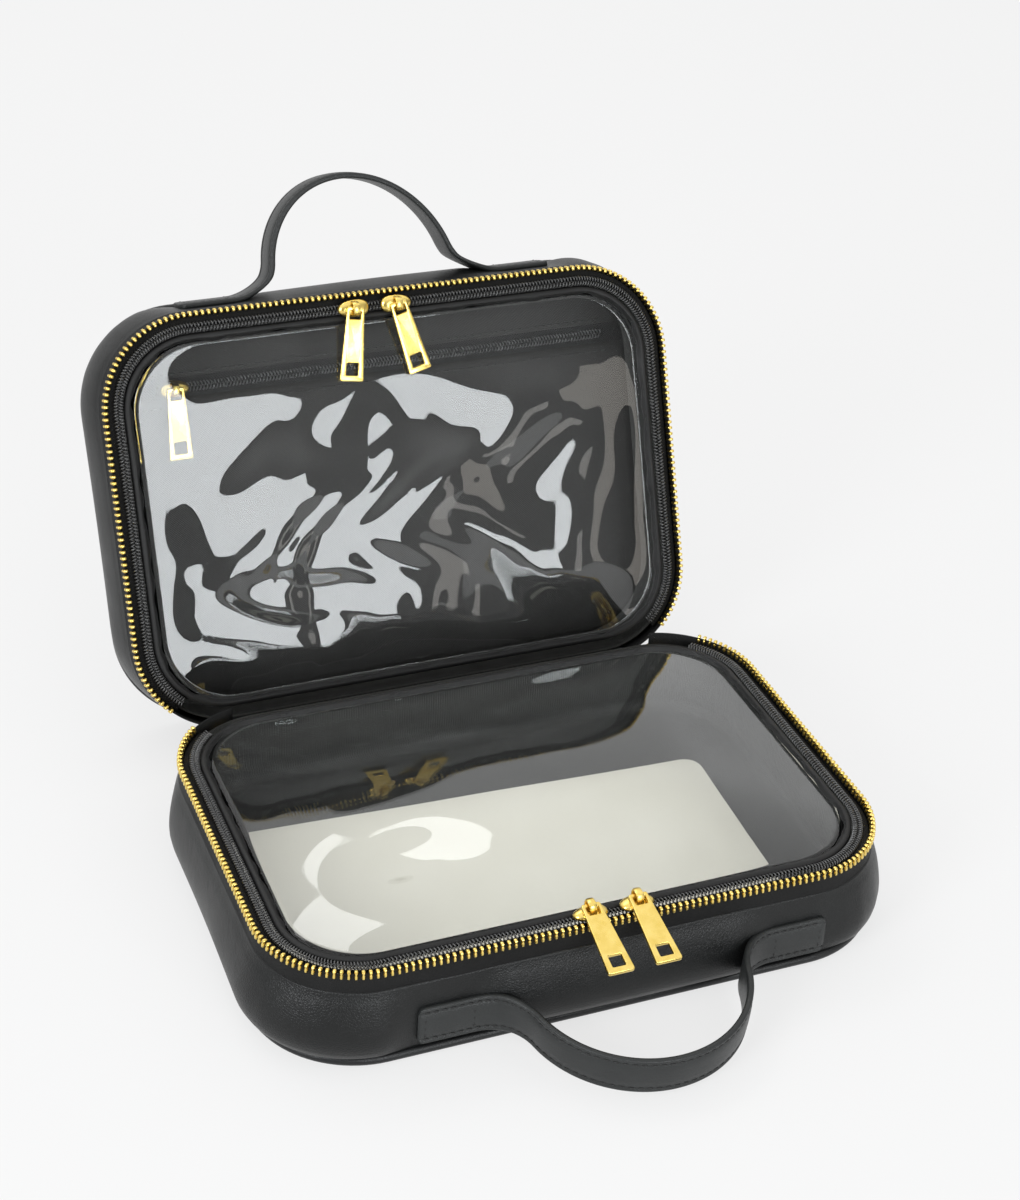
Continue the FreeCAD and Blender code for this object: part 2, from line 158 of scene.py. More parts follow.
# %% Node helpers
def fill(tree, socket, value):
    """Links a socket to another one, or sets it to a plain value."""
    if isinstance(value, bpy.types.NodeSocket):
        tree.links.new(value, socket)
    else:
        socket.default_value = value


def add(tree, kind, inputs=None, **settings):
    """Adds a node, sets its options, and fills its inputs with values or links."""
    made = tree.nodes.new("ShaderNode" + kind)
    for name, value in settings.items():
        setattr(made, name, value)
    for name, value in (inputs or {}).items():
        fill(tree, made.inputs[name], value)
    return made


def maths(tree, operation, *values):
    made = add(tree, "Math", operation=operation)
    for socket, value in zip(made.inputs, values):
        fill(tree, socket, value)
    return made.outputs[0]


def start_group(name, inputs, outputs):
    """An empty shader group with named sockets."""
    tree = bpy.data.node_groups.new(name, "ShaderNodeTree")
    for label, kind in inputs:
        tree.interface.new_socket(name=label, in_out="INPUT", socket_type="NodeSocket" + kind)
    for label, kind in outputs:
        tree.interface.new_socket(name=label, in_out="OUTPUT", socket_type="NodeSocket" + kind)
    return tree, tree.nodes.new("NodeGroupInput").outputs, tree.nodes.new("NodeGroupOutput").inputs


# %% Leather grain group
PORE_SCALE = 2.6
PORE_DEPTH = 0.5
CREASE_SCALE = 0.05
CREASE_DEPTH = 3.0
PEBBLE_SLOPE = 2.5
PEBBLE_TOP = 0.6


def make_grain():
    """Pebbled skin: small cells, finer pores, and slow creases."""
    tree, given, out = start_group("leather_grain", [("Vector", "Vector"), ("Cells", "Float")],
                                   [("Height", "Float"), ("Tone", "Float")])
    cells = add(tree, "TexVoronoi", {"Vector": given["Vector"], "Scale": given["Cells"]},
                feature="DISTANCE_TO_EDGE")
    fine = maths(tree, "MULTIPLY", given["Cells"], PORE_SCALE)
    pores = add(tree, "TexNoise", {"Vector": given["Vector"], "Scale": fine, "Detail": 3.0})
    slow = maths(tree, "MULTIPLY", given["Cells"], CREASE_SCALE)
    creases = add(tree, "TexNoise", {"Vector": given["Vector"], "Scale": slow, "Detail": 4.0,
                                     "Distortion": 0.8})
    slope = maths(tree, "MULTIPLY", cells.outputs["Distance"], PEBBLE_SLOPE)
    pebble = maths(tree, "MINIMUM", slope, PEBBLE_TOP)
    grain = maths(tree, "ADD", pebble, maths(tree, "MULTIPLY", pores.outputs["Fac"], PORE_DEPTH))
    folds = maths(tree, "MULTIPLY", creases.outputs["Fac"], CREASE_DEPTH)
    tree.links.new(maths(tree, "ADD", grain, folds), out["Height"])
    tree.links.new(creases.outputs["Fac"], out["Tone"])
    return tree


GRAIN = make_grain()
print("group", GRAIN.name)


# %% Woven thread group
def make_weave():
    """Crossing threads on a flat run of cloth; Pitch is the width of one thread."""
    tree, given, out = start_group("thread_weave", [("Vector", "Vector"), ("Pitch", "Float")],
                                   [("Height", "Float"), ("Gaps", "Float")])
    parts = add(tree, "SeparateXYZ", {"Vector": given["Vector"]}).outputs
    turns = maths(tree, "DIVIDE", math.pi, given["Pitch"])
    along = maths(tree, "MULTIPLY", parts["X"], turns)
    across = maths(tree, "MULTIPLY", parts["Y"], turns)
    warp = maths(tree, "SINE", maths(tree, "ADD", along, across))
    weft = maths(tree, "SINE", maths(tree, "SUBTRACT", along, across))
    rise = maths(tree, "MAXIMUM", warp, weft)
    tree.links.new(rise, out["Height"])
    tree.links.new(maths(tree, "SUBTRACT", 1.0, maths(tree, "ABSOLUTE", rise)), out["Gaps"])
    return tree


WEAVE = make_weave()
print("group", WEAVE.name)


# %% Handling group
def make_handling():
    """Uneven shine where hands have been: a slow patchy value between Low and High."""
    inputs = [("Vector", "Vector"), ("Scale", "Float"), ("Low", "Float"), ("High", "Float")]
    tree, given, out = start_group("handled_shine", inputs, [("Value", "Float")])
    patches = add(tree, "TexNoise", {"Vector": given["Vector"], "Scale": given["Scale"], "Detail": 5.0})
    ranged = add(tree, "MapRange", {"Value": patches.outputs["Fac"], "From Min": 0.3, "From Max": 0.7,
                                    "To Min": given["Low"], "To Max": given["High"]})
    tree.links.new(ranged.outputs["Result"], out["Value"])
    return tree


HANDLING = make_handling()
print("group", HANDLING.name)


# %% [markdown]
# ## Finishes
# Each finish is a Principled shader whose colour, shine and bump come from those groups. Plain constants
# sit on the shader's own sockets. Cloth reads the run of its own piece, so its threads follow the zip.

# %% Finish helpers
def start_finish(name, **constants):
    finish = bpy.data.materials.new(name)
    finish.use_nodes = True
    shader = finish.node_tree.nodes["Principled BSDF"]
    for label, value in constants.items():
        shader.inputs[label.replace("_", " ")].default_value = value
    return finish, finish.node_tree, shader.inputs


def use(tree, effect, **inputs):
    """Puts a shared effect in a finish and gives its outputs."""
    return add(tree, "Group", inputs, node_tree=effect).outputs


def two_tones(tree, mask, dark, light):
    mix = add(tree, "Mix", data_type="RGBA")
    mix.inputs[6].default_value = (*dark, 1)
    mix.inputs[7].default_value = (*light, 1)
    tree.links.new(mask, mix.inputs[0])
    return mix.outputs[2]


def emboss(tree, height, shader, strength, distance):
    bump = add(tree, "Bump", {"Height": height, "Strength": strength, "Distance": distance})
    tree.links.new(bump.outputs["Normal"], shader["Normal"])


def patchy_shine(tree, place, shader, scale, shine):
    """Handled shine: the roughness changes slowly between two values."""
    patches = use(tree, HANDLING, Vector=place, Scale=scale, Low=shine[0], High=shine[1])
    tree.links.new(patches["Value"], shader["Roughness"])


# %% Leathers
def leather(name, dark, light, shine, cells, strength, gloss):
    finish, tree, shader = start_finish(name, Specular_IOR_Level=gloss)
    place = add(tree, "TexCoord").outputs["Object"]
    grain = use(tree, GRAIN, Vector=place, Cells=cells)
    tree.links.new(two_tones(tree, grain["Tone"], dark, light), shader["Base Color"])
    patchy_shine(tree, place, shader, 35.0, shine)
    emboss(tree, grain["Height"], shader, strength, distance=0.00025)
    return finish


LEATHER = leather("case_leather", (0.003, 0.003, 0.003), (0.007, 0.008, 0.008),
                  shine=(0.31, 0.42), cells=1100.0, strength=0.4, gloss=0.30)
STRAP = leather("strap_leather", (0.010, 0.011, 0.011), (0.020, 0.022, 0.022),
                shine=(0.36, 0.46), cells=1300.0, strength=0.35, gloss=0.38)
BINDING = leather("window_binding", (0.003, 0.003, 0.003), (0.007, 0.007, 0.007),
                  shine=(0.50, 0.66), cells=1600.0, strength=0.3, gloss=0.40)
PIPING = leather("edge_piping", (0.004, 0.004, 0.005), (0.009, 0.010, 0.010),
                 shine=(0.30, 0.42), cells=1400.0, strength=0.25, gloss=0.34)
print("leathers", LEATHER.name, STRAP.name, BINDING.name, PIPING.name)


# %% Cloths
def cloth(name, dark, light, pitch, rough, strength):
    """Woven cloth whose threads follow the piece's own run, kept as a UV map in millimetres."""
    finish, tree, shader = start_finish(name, Specular_IOR_Level=0.25)
    run = add(tree, "UVMap", uv_map="run").outputs["UV"]
    weave = use(tree, WEAVE, Vector=run, Pitch=pitch)
    tree.links.new(two_tones(tree, weave["Gaps"], light, dark), shader["Base Color"])
    place = add(tree, "TexCoord").outputs["Object"]
    patchy_shine(tree, place, shader, 60.0, (rough - 0.08, rough + 0.08))
    emboss(tree, weave["Height"], shader, strength, distance=0.0002)
    return finish


TAPE = cloth("zip_tape", (0.002, 0.002, 0.002), (0.006, 0.006, 0.006),
             pitch=0.55, rough=0.60, strength=0.7)
LINING = cloth("lining_cloth", (0.012, 0.012, 0.011), (0.026, 0.026, 0.024),
               pitch=0.5, rough=0.66, strength=0.35)
POCKET = cloth("pocket_cloth", (0.008, 0.008, 0.007), (0.018, 0.017, 0.016),
               pitch=0.5, rough=0.62, strength=0.35)
print("cloths", TAPE.name, LINING.name, POCKET.name)


# %% Metal, nylon, thread and card
# Noise scales as multiples of the scale of the shine.
TONE_SCALE = 2.3
ROUGH_SCALE = 14


def plain(name, dark, light, shine, scale, strength, **constants):
    """A finish with slow colour change, patchy shine and a faint rough skin."""
    finish, tree, shader = start_finish(name, **constants)
    place = add(tree, "TexCoord").outputs["Object"]
    tone = use(tree, HANDLING, Vector=place, Scale=scale * TONE_SCALE, Low=0.0, High=1.0)
    tree.links.new(two_tones(tree, tone["Value"], dark, light), shader["Base Color"])
    patchy_shine(tree, place, shader, scale, shine)
    rough = add(tree, "TexNoise", {"Vector": place, "Scale": scale * ROUGH_SCALE, "Detail": 3.0})
    emboss(tree, rough.outputs["Fac"], shader, strength, distance=0.0001)
    return finish


GOLD = plain("gold_plate", (0.78, 0.57, 0.14), (0.90, 0.69, 0.22),
             shine=(0.20, 0.34), scale=120.0, strength=0.25, Metallic=1.0)
NYLON = plain("nylon_coil", (0.035, 0.035, 0.035), (0.070, 0.070, 0.070),
              shine=(0.22, 0.32), scale=150.0, strength=0.1, Specular_IOR_Level=0.75)
THREAD = plain("stitch_thread", (0.002, 0.002, 0.002), (0.008, 0.008, 0.008),
               shine=(0.50, 0.65), scale=900.0, strength=0.5)
CARD = plain("insert_card", (0.59, 0.56, 0.48), (0.63, 0.60, 0.52),
             shine=(0.50, 0.62), scale=12.0, strength=0.1)
print("finishes", GOLD.name, NYLON.name, THREAD.name, CARD.name)


# %% Clear film
def clear_film():
    """Flexible clear plastic. Rays from lamps pass straight through, so the inside stays lit."""
    finish, tree, shader = start_finish("clear_film", Base_Color=(0.93, 0.95, 0.95, 1), Roughness=0.015,
                                        IOR=1.48, Transmission_Weight=1.0)
    place = add(tree, "TexCoord").outputs["Object"]
    ripple = add(tree, "TexNoise", {"Vector": place, "Scale": 24.0, "Detail": 1.0})
    emboss(tree, ripple.outputs["Fac"], shader, strength=0.15, distance=0.002)
    through = add(tree, "BsdfTransparent")
    shadow = add(tree, "LightPath").outputs["Is Shadow Ray"]
    mix = add(tree, "MixShader", {"Fac": shadow})
    tree.links.new(tree.nodes["Principled BSDF"].outputs[0], mix.inputs[1])
    tree.links.new(through.outputs[0], mix.inputs[2])
    tree.links.new(mix.outputs[0], tree.nodes["Material Output"].inputs["Surface"])
    return finish


FILM = clear_film()
print("finish", FILM.name)


# %% [markdown]
# ## Shaping helpers
# Almost everything on the case follows its rounded outline. So the outline is one formula, and a piece is
# a small profile of outward and upward points that is carried along it.

# %% The rounded outline
STRAIGHT_X = WIDTH / 2 - CORNER
STRAIGHT_Y = DEPTH / 2 - CORNER
QUARTER = CORNER * math.pi / 2
HALF_ROUND = 2 * STRAIGHT_X + 2 * STRAIGHT_Y + 2 * QUARTER
ZIP_END_INSET = 9.0
ZIP_TURN = math.asin((DEPTH / 2 - ZIP_END_INSET - STRAIGHT_Y) / CORNER)
ZIP_REACH = STRAIGHT_X + QUARTER + 2 * STRAIGHT_Y + CORNER * ZIP_TURN
SPINE_TURN = math.radians(12.0)
SPINE_REACH = HALF_ROUND - STRAIGHT_X - CORNER * SPINE_TURN


def outline(run):
    """Points and outward normals, run millimetres from the front middle, positive to the right."""
    run = np.asarray(run, float)
    side = np.where(run < 0, -1.0, 1.0)
    gone = np.abs(run)
    first = STRAIGHT_X + QUARTER
    second = first + 2 * STRAIGHT_Y
    turn = sum(np.clip((gone - start) / CORNER, 0, math.pi / 2) for start in (STRAIGHT_X, second))
    nx, ny = np.sin(turn), -np.cos(turn)
    x = np.clip(gone, 0, STRAIGHT_X) - np.clip(gone - second - QUARTER, 0, STRAIGHT_X) + CORNER * nx
    y = np.clip(gone - first, 0, 2 * STRAIGHT_Y) - STRAIGHT_Y + CORNER * ny
    return side * x, y, side * nx, ny


def whole_run(step):
    """Runs for a closed loop that starts and ends at the back middle."""
    count = int(2 * HALF_ROUND / step)
    return np.linspace(-HALF_ROUND, HALF_ROUND, count, endpoint=False)


def front_run(reach, step):
    """Runs round the front from one end to the other, each reach millimetres from the front middle."""
    return np.linspace(-reach, reach, int(2 * reach / step))


def at_inset(run, inset, rise):
    """Points inside the outline by inset, at one height."""
    x, y, nx, ny = outline(run)
    return np.stack([x - nx * inset, y - ny * inset, np.full(len(run), rise)], -1)


def flat_cut(inset):
    """Width, length and area in metres of a flat sheet with the outline's shape."""
    corner = CORNER - inset
    width, length = 2 * (STRAIGHT_X + corner), 2 * (STRAIGHT_Y + corner)
    return (width * MM, length * MM), (width * length - (4 - math.pi) * corner ** 2) * MM * MM


def waves(run, *parts):
    """A soft unevenness: parts are (height, wavelength, phase)."""
    return sum(height * np.sin(2 * math.pi * run / length + phase) for height, length, phase in parts)


print("zip reach", round(ZIP_REACH, 1), "half round", round(HALF_ROUND, 1))


# %% Meshes from grids of points
def skin(points, close_run=False, close_profile=True):
    """Faces over a grid of points, with its run and breadth in millimetres for cloth. A tube has caps."""
    runs, across = points.shape[:2]
    index = np.arange(runs * across).reshape(runs, across)
    along = np.cumsum(np.linalg.norm(np.diff(points[:, 0], axis=0, append=points[:1, 0]), axis=1))
    along = np.concatenate([[0], along])
    wide = np.cumsum(np.linalg.norm(np.diff(points[0], axis=0, append=points[0, :1]), axis=1))
    wide = np.concatenate([[0], wide])
    faces, run_map = [], []
    for i in range(runs if close_run else runs - 1):
        for j in range(across if close_profile else across - 1):
            i2, j2 = (i + 1) % runs, (j + 1) % across
            faces.append((index[i, j], index[i2, j], index[i2, j2], index[i, j2]))
            run_map += [(along[i], wide[j]), (along[i + 1], wide[j]),
                        (along[i + 1], wide[j + 1]), (along[i], wide[j + 1])]
    if close_profile and not close_run:
        for end in (index[0], index[-1][::-1]):
            faces.append(tuple(end))
            run_map += [(0.0, 0.0)] * across
    return points.reshape(-1, 3), faces, run_map


def carry(run, profile, **options):
    """Carries a profile of (outward, up) points along the outline. It may differ at each run."""
    x, y, nx, ny = outline(run)
    profile = np.broadcast_to(np.asarray(profile, float), (len(run), *np.shape(profile)[-2:]))
    out = profile[..., 0]
    points = np.stack([x[:, None] + nx[:, None] * out, y[:, None] + ny[:, None] * out, profile[..., 1]], -1)
    return skin(points, **options)


def gather(shapes):
    """Several shapes as one."""
    points, faces, run_map, start = [], [], [], 0
    for shape_points, shape_faces, shape_map in shapes:
        points.append(shape_points)
        faces += [tuple(start + k for k in face) for face in shape_faces]
        run_map += shape_map
        start += len(shape_points)
    return np.concatenate(points), faces, run_map


# %% Pieces on the case
def piece(name, half, shape, finish, stands_for=(), body=None, crease=None):
    """Makes a mesh piece on a half. It rides on that half's body unless another is named."""
    points, faces, run_map = shape
    mesh = bpy.data.meshes.new(name)
    mesh.from_pydata(on_case(half, points).tolist(), [], [tuple(int(k) for k in face) for face in faces])
    layer = mesh.uv_layers.new(name="run")
    layer.data.foreach_set("uv", np.asarray(run_map, np.float32).ravel())
    work = bmesh.new()
    work.from_mesh(mesh)
    bmesh.ops.recalc_face_normals(work, faces=work.faces)
    work.to_mesh(mesh)
    work.free()
    mesh.polygons.foreach_set("use_smooth", [True] * len(mesh.polygons))
    if crease:
        mesh.set_sharp_from_angle(angle=math.radians(crease))
    mesh.materials.append(finish)
    made = bpy.data.objects.new(name, mesh)
    bpy.context.scene.collection.objects.link(made)
    if stands_for:
        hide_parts(*stands_for)
    if body is not False:
        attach(made, body or half)
    print(name, len(mesh.vertices), "points")
    return made


# %% [markdown]
# ## Leather shell
# The wall is one soft strip: it leaves the bottom seam, swells a little, and is turned in at the top where
# the zip tape is sewn on. Its swell wanders slowly round the case, because no two hands pull it alike.

# %% Wall, piping and outer panel
HANDLE_X = {"base": 7.0, "lid": -2.0}
TAB_START = 57.5
TAB_LENGTH = 21.5
TAB_GRIP = (TAB_LENGTH / 2 - 3.0, TAB_LENGTH / 2 + 16.0)
TAB_HOLD = 0.8
BACK_HOLD = 0.85
LEATHER_BELOW_RIM = 9.6
LEATHER_FALL = (ZIP_REACH - 7.0, ZIP_REACH + 5.0)
WALL_SWELL = {"base": 5.0, "lid": 3.0}
WALL_FOOT = 3.2
WALL_OUT = 0.1
WALL_INSIDE = -1.9
INSIDE_BELOW_EDGE = 2.0
BULGE = 0.35
BULGE_RUN = -STRAIGHT_X - 0.7 * QUARTER
BULGE_BREADTH = 40.0
CREASE_BREADTH = 34.0
TURNED_EDGE = 0.9
PIPING_MIDDLE = (0.1, 1.95)
PIPING_SIZE = (1.5, 1.8)


def soft_step(low_end, high_end, value):
    """Eases from 0 to 1 between two values."""
    share = np.clip((value - low_end) / (high_end - low_end), 0, 1)
    return share * share * (3 - 2 * share)


def wall_top(half, run):
    """Height of the leather's top edge, lower across the back where the spine takes over."""
    past = soft_step(*LEATHER_FALL, np.abs(run))
    return HEIGHT[half] - LEATHER_BELOW_RIM - past * (FOLD_DROP - LEATHER_BELOW_RIM)


def pulled_in(half, run):
    """How far the sewn tabs of the handle hold the wall flat."""
    away = np.abs(np.abs(run - HANDLE_X[half]) - TAB_START - TAB_LENGTH / 2)
    return 1 - soft_step(*TAB_GRIP, away)


def wall(half):
    """The swell is largest at the front left corner, and fine creases cross both front corners."""
    run = whole_run(1.6)
    top = wall_top(half, run)[:, None]
    swell = 1 + waves(run, (0.12, 260, 0.4), (0.06, 131, 1.9))
    swell = swell + BULGE * np.exp(-((run - BULGE_RUN) / BULGE_BREADTH) ** 2)
    swell = WALL_SWELL[half] * swell * (1 - TAB_HOLD * pulled_in(half, run))
    swell = (swell * (1 - BACK_HOLD * soft_step(ZIP_REACH - 40, ZIP_REACH, np.abs(run))))[:, None]
    bent = np.exp(-((np.abs(run) - STRAIGHT_X - QUARTER / 2) / CREASE_BREADTH) ** 2)
    creases = (bent * waves(run, (0.05, 9.1, 0.2), (0.03, 6.3, 1.4), (0.06, 21.0, 0.8)))[:, None]
    share = np.linspace(0, 1, 12)
    rise = WALL_FOOT + (top - TURNED_EDGE - WALL_FOOT) * share
    out = WALL_OUT + swell * np.sin(math.pi * share ** 0.72) ** 0.75 * (1 - 0.2 * share)
    out = out + creases * np.sin(math.pi * share) * (0.4 + share)
    edge = np.linspace(0.2, math.pi - 0.2, 6)
    edge_out = WALL_OUT - TURNED_EDGE + TURNED_EDGE * np.cos(edge) + 0 * top
    edge_rise = top - TURNED_EDGE + TURNED_EDGE * np.sin(edge)
    inner_out = np.full((len(run), 2), WALL_INSIDE)
    inner_rise = np.concatenate([top - INSIDE_BELOW_EDGE, WALL_FOOT + 0 * top], 1)
    profile = np.stack([np.concatenate([out, edge_out, inner_out], 1),
                        np.concatenate([rise, edge_rise, inner_rise], 1)], -1)
    return carry(run, profile, close_run=True)


def piping():
    turn = np.linspace(0, 2 * math.pi, 14, endpoint=False)
    profile = np.stack([PIPING_MIDDLE[0] + PIPING_SIZE[0] * np.cos(turn),
                        PIPING_MIDDLE[1] + PIPING_SIZE[1] * np.sin(turn)], -1)
    return carry(whole_run(2.5), profile, close_run=True)


MIDDLE_RING = 0.004


def spread(inset, rings, rise, thick, shrink=1.0, step=4.0):
    """A sheet that fills the outline: rings from the edge to the middle, at height rise(x, y, share)."""
    edge = at_inset(whole_run(step), inset, 0.0)
    share = (1 - np.linspace(0, 1, rings) ** shrink)[1:-1]
    share = np.concatenate([[1.0], share, [MIDDLE_RING]])[:, None]
    grid_x, grid_y = share * edge[:, 0], share * edge[:, 1]
    top = np.stack([grid_x, grid_y, rise(grid_x, grid_y, share + 0 * grid_x)], -1)
    under = top.copy()
    under[..., 2] -= thick
    return close_middle(np.concatenate([top[::-1], under], 0))


def close_middle(rings):
    """Rings from one face's middle, over the edge, to the other face's middle, with both middles shut."""
    points, faces, run_map = skin(rings.transpose(1, 0, 2), close_run=True, close_profile=False)
    across = len(rings)
    faces += [tuple(range(start, len(points), across)) for start in (0, across - 1)]
    return points, faces, [(points[k][0], points[k][1]) for face in faces for k in face]


PANEL_INSET = 1.4
PANEL_THICK = 2.6
PANEL_LIFT = 0.5
PANEL_WAVE = 0.25
PANEL_CROWN = {"base": 0.0, "lid": 2.4}


def outer_panel(half):
    def rise(x, y, share):
        wave = PANEL_WAVE * np.sin(x / 37 + 0.6) * np.sin(y / 29)
        return PANEL_THICK + PANEL_LIFT + (wave - PANEL_CROWN[half]) * (1 - share ** 4)
    return spread(PANEL_INSET, 26, rise, thick=PANEL_THICK)


for half in HEIGHT:
    piece(half + "_wall", half, wall(half), LEATHER, [half + "_gusset"])
    piece(half + "_piping", half, piping(), PIPING, [half + "_edge_piping"])
    piece(half + "_panel", half, outer_panel(half), LEATHER, [half + "_outer_panel"])

# %% [markdown]
# ## Lining
# Inside, dark cloth covers the floor and climbs the walls to the window. It is sewn only at its edges, so
# the walls wave a little. One sheet is made from floor rings and wall rings.

# %% Lining
FLOOR_TOP = 4.0
LINING_INSET = 3.4
LINING_ROUND = 5.0
LINING_BELOW_RIM = 5.6
LINING_THICK = 0.7
LINING_CLEAR = 0.9
LINING_SLACK = 0.5
LINING_WALL_RINGS = 8
FLOOR_LIFT = 0.05
FLOOR_SWAY = 0.25


def lining(half):
    """Its walls wave round the front, and at the back they stand in a little, clear of the spine."""
    run = whole_run(3.0)
    x, y, nx, ny = outline(run)
    floor_inset = LINING_INSET + LINING_ROUND
    wall_foot = FLOOR_TOP + LINING_ROUND
    climb = HEIGHT[half] - LINING_BELOW_RIM - wall_foot
    rings = []
    for share in np.linspace(MIDDLE_RING, 1, 18):
        px, py = share * (x - nx * floor_inset), share * (y - ny * floor_inset)
        sway = FLOOR_SWAY * (1 + np.sin(px / 19 + 0.4) * np.sin(py / 23 + 1.1))
        rings.append(np.stack([px, py, FLOOR_TOP + FLOOR_LIFT + sway * (1 - share ** 3)], -1))
    for turn in np.linspace(0, math.pi / 2, 6)[1:]:
        inset = floor_inset - LINING_ROUND * math.sin(turn)
        rings.append(at_inset(run, inset, wall_foot - LINING_ROUND * math.cos(turn)))
    back = soft_step(ZIP_REACH - 20, ZIP_REACH, np.abs(run))
    wave = waves(run, (0.45, 33, 0.2), (0.3, 21, 1.3), (0.2, 57, 2.2)) * (1 - BACK_HOLD * back)
    wave = wave + LINING_CLEAR * back
    for share in np.linspace(0, 1, LINING_WALL_RINGS + 1)[1:]:
        inset = LINING_INSET + LINING_SLACK + wave * math.sin(math.pi * share)
        rings.append(at_inset(run, inset, wall_foot + climb * share))
    inner = np.array(rings)
    outer = inner.copy()
    walls = len(rings) - LINING_WALL_RINGS
    outer[:walls, :, 2] -= LINING_THICK
    outer[walls:, :, 0] += nx * LINING_THICK
    outer[walls:, :, 1] += ny * LINING_THICK
    return close_middle(np.concatenate([inner, outer[::-1]], 0))


for half in HEIGHT:
    made = piece(half + "_lining", half, lining(half), LINING,
                 [half + "_panel_lining", half + "_wall_lining", half + "_back_facing"])
    climb = (HEIGHT[half] - LINING_BELOW_RIM - FLOOR_TOP) * MM
    around = (4 * (STRAIGHT_X + STRAIGHT_Y) + 2 * math.pi * (CORNER - LINING_INSET)) * MM
    floor_size, floor_area = flat_cut(LINING_INSET)
    flat = [side + 2 * climb for side in floor_size]
    area = floor_area + climb * around
    print("lining cut to", [round(side, 4) for side in flat], "m, area", round(area, 5), "m2")

# %% [markdown]
# ## Main zip
# A black woven tape stands behind the leather's edge and carries gold teeth. Past the last tooth it runs on
# to the spine. Each tooth is a small casting with legs on the tape, a waist and a rounded head. One tooth
# is shaped and then set at every pitch.

# %% Zip tape and teeth
TAPE_OUT = -0.5
TAPE_BOW = 0.25
TAPE_THICK = 0.7
TAPE_LAP = 3.6
TAPE_IN_TOOTH = 1.6
TOOTH_PITCH = 2.5
TOOTH_CENTRE = 0.8
TOOTH_HEIGHT = 3.2
TOOTH_LEVELS = ((0.0, 1.0, 2.1), (0.25, 1.25, 2.4), (1.3, 1.3, 2.4), (1.7, 0.95, 2.0), (2.0, 0.95, 1.9),
                (2.4, 1.35, 2.1), (2.8, 1.3, 1.9), (3.1, 0.9, 1.3), (3.2, 0.3, 0.5))


def main_tape(half):
    """The tape runs on past the last tooth to the spine, with its foot behind the leather."""
    run = front_run(SPINE_REACH, 2.5)
    top = HEIGHT[half] - TOOTH_BELOW_RIM - TOOTH_HEIGHT + TAPE_IN_TOOTH
    foot = wall_top(half, run)[:, None] - TAPE_LAP
    share = np.linspace(0, 1, 7)
    uneven = waves(run, (0.22, 63, 0.5), (0.12, 29, 1.2))[:, None]
    out = TAPE_OUT + (TAPE_BOW + uneven) * np.sin(math.pi * share)
    rise = foot + (top - foot) * share
    outer = np.stack([out, rise], -1)
    inner = np.stack([out - TAPE_THICK, rise], -1)[:, ::-1]
    return carry(run, np.concatenate([outer, inner], 1))


def squared(value, power):
    """A sine or cosine pushed out towards 1 and -1, which makes a circle into a rounded square."""
    return np.sign(value) * np.abs(value) ** power


def ring_points(length, width, count):
    """A rounded rectangle about the origin."""
    turn = np.linspace(0, 2 * math.pi, count, endpoint=False) + math.pi / count
    return np.stack([squared(np.cos(turn), 0.6) * length / 2, squared(np.sin(turn), 0.6) * width / 2], -1)


def tooth():
    levels = [np.column_stack([ring_points(length, width, 8), np.full(8, rise)])
              for rise, length, width in TOOTH_LEVELS]
    return skin(np.array(levels))


def set_along(shape, run, inset, rise):
    """Copies of a shape along the outline, its X along the run and its Y across the tape."""
    points, faces, run_map = shape
    x, y, nx, ny = outline(run)
    copies = []
    for px, py, ox, oy in zip(x - nx * inset, y - ny * inset, nx, ny):
        turned = np.column_stack([px - oy * points[:, 0] + ox * points[:, 1],
                                  py + ox * points[:, 0] + oy * points[:, 1], points[:, 2] + rise])
        copies.append((turned, faces, run_map))
    return gather(copies)


tooth_count = int(ZIP_REACH / TOOTH_PITCH - 0.5)
tooth_run = (np.arange(-tooth_count, tooth_count) + 0.5) * TOOTH_PITCH
for half in HEIGHT:
    piece(half + "_zip_tape", half, main_tape(half), TAPE, [half + "_main_tape"])
    foot = HEIGHT[half] - TOOTH_BELOW_RIM - TOOTH_HEIGHT
    piece(half + "_zip_teeth", half, set_along(tooth(), tooth_run, TOOTH_CENTRE, foot), GOLD,
          [half + "_main_teeth"], crease=40)

# %% [markdown]
# ## Window zip
# Just inside the teeth runs a finer nylon zip. Its two coils are springs pressed together, which is what
# gives the small herringbone line. Each coil is a helix that is carried along the outline.

# %% Coils and their tape
COIL_CENTRE = 6.2
COIL_BELOW_RIM = 3.0
COIL_SPREAD = 0.95
COIL_RADIUS = (0.85, 0.75)
COIL_WIRE = 0.32
COIL_PITCH = 1.4
COIL_STEPS = 8
COIL_SIDES = 4
COIL_TAPE_OUT = -1.5
COIL_TAPE_ROUND = 1.1
COIL_TAPE_FOOT = 12.0
COIL_TAPE_DROP = 0.4
COIL_TAPE_PAST = 0.6
COIL_TAPE_THICK = (0.4, 0.5)


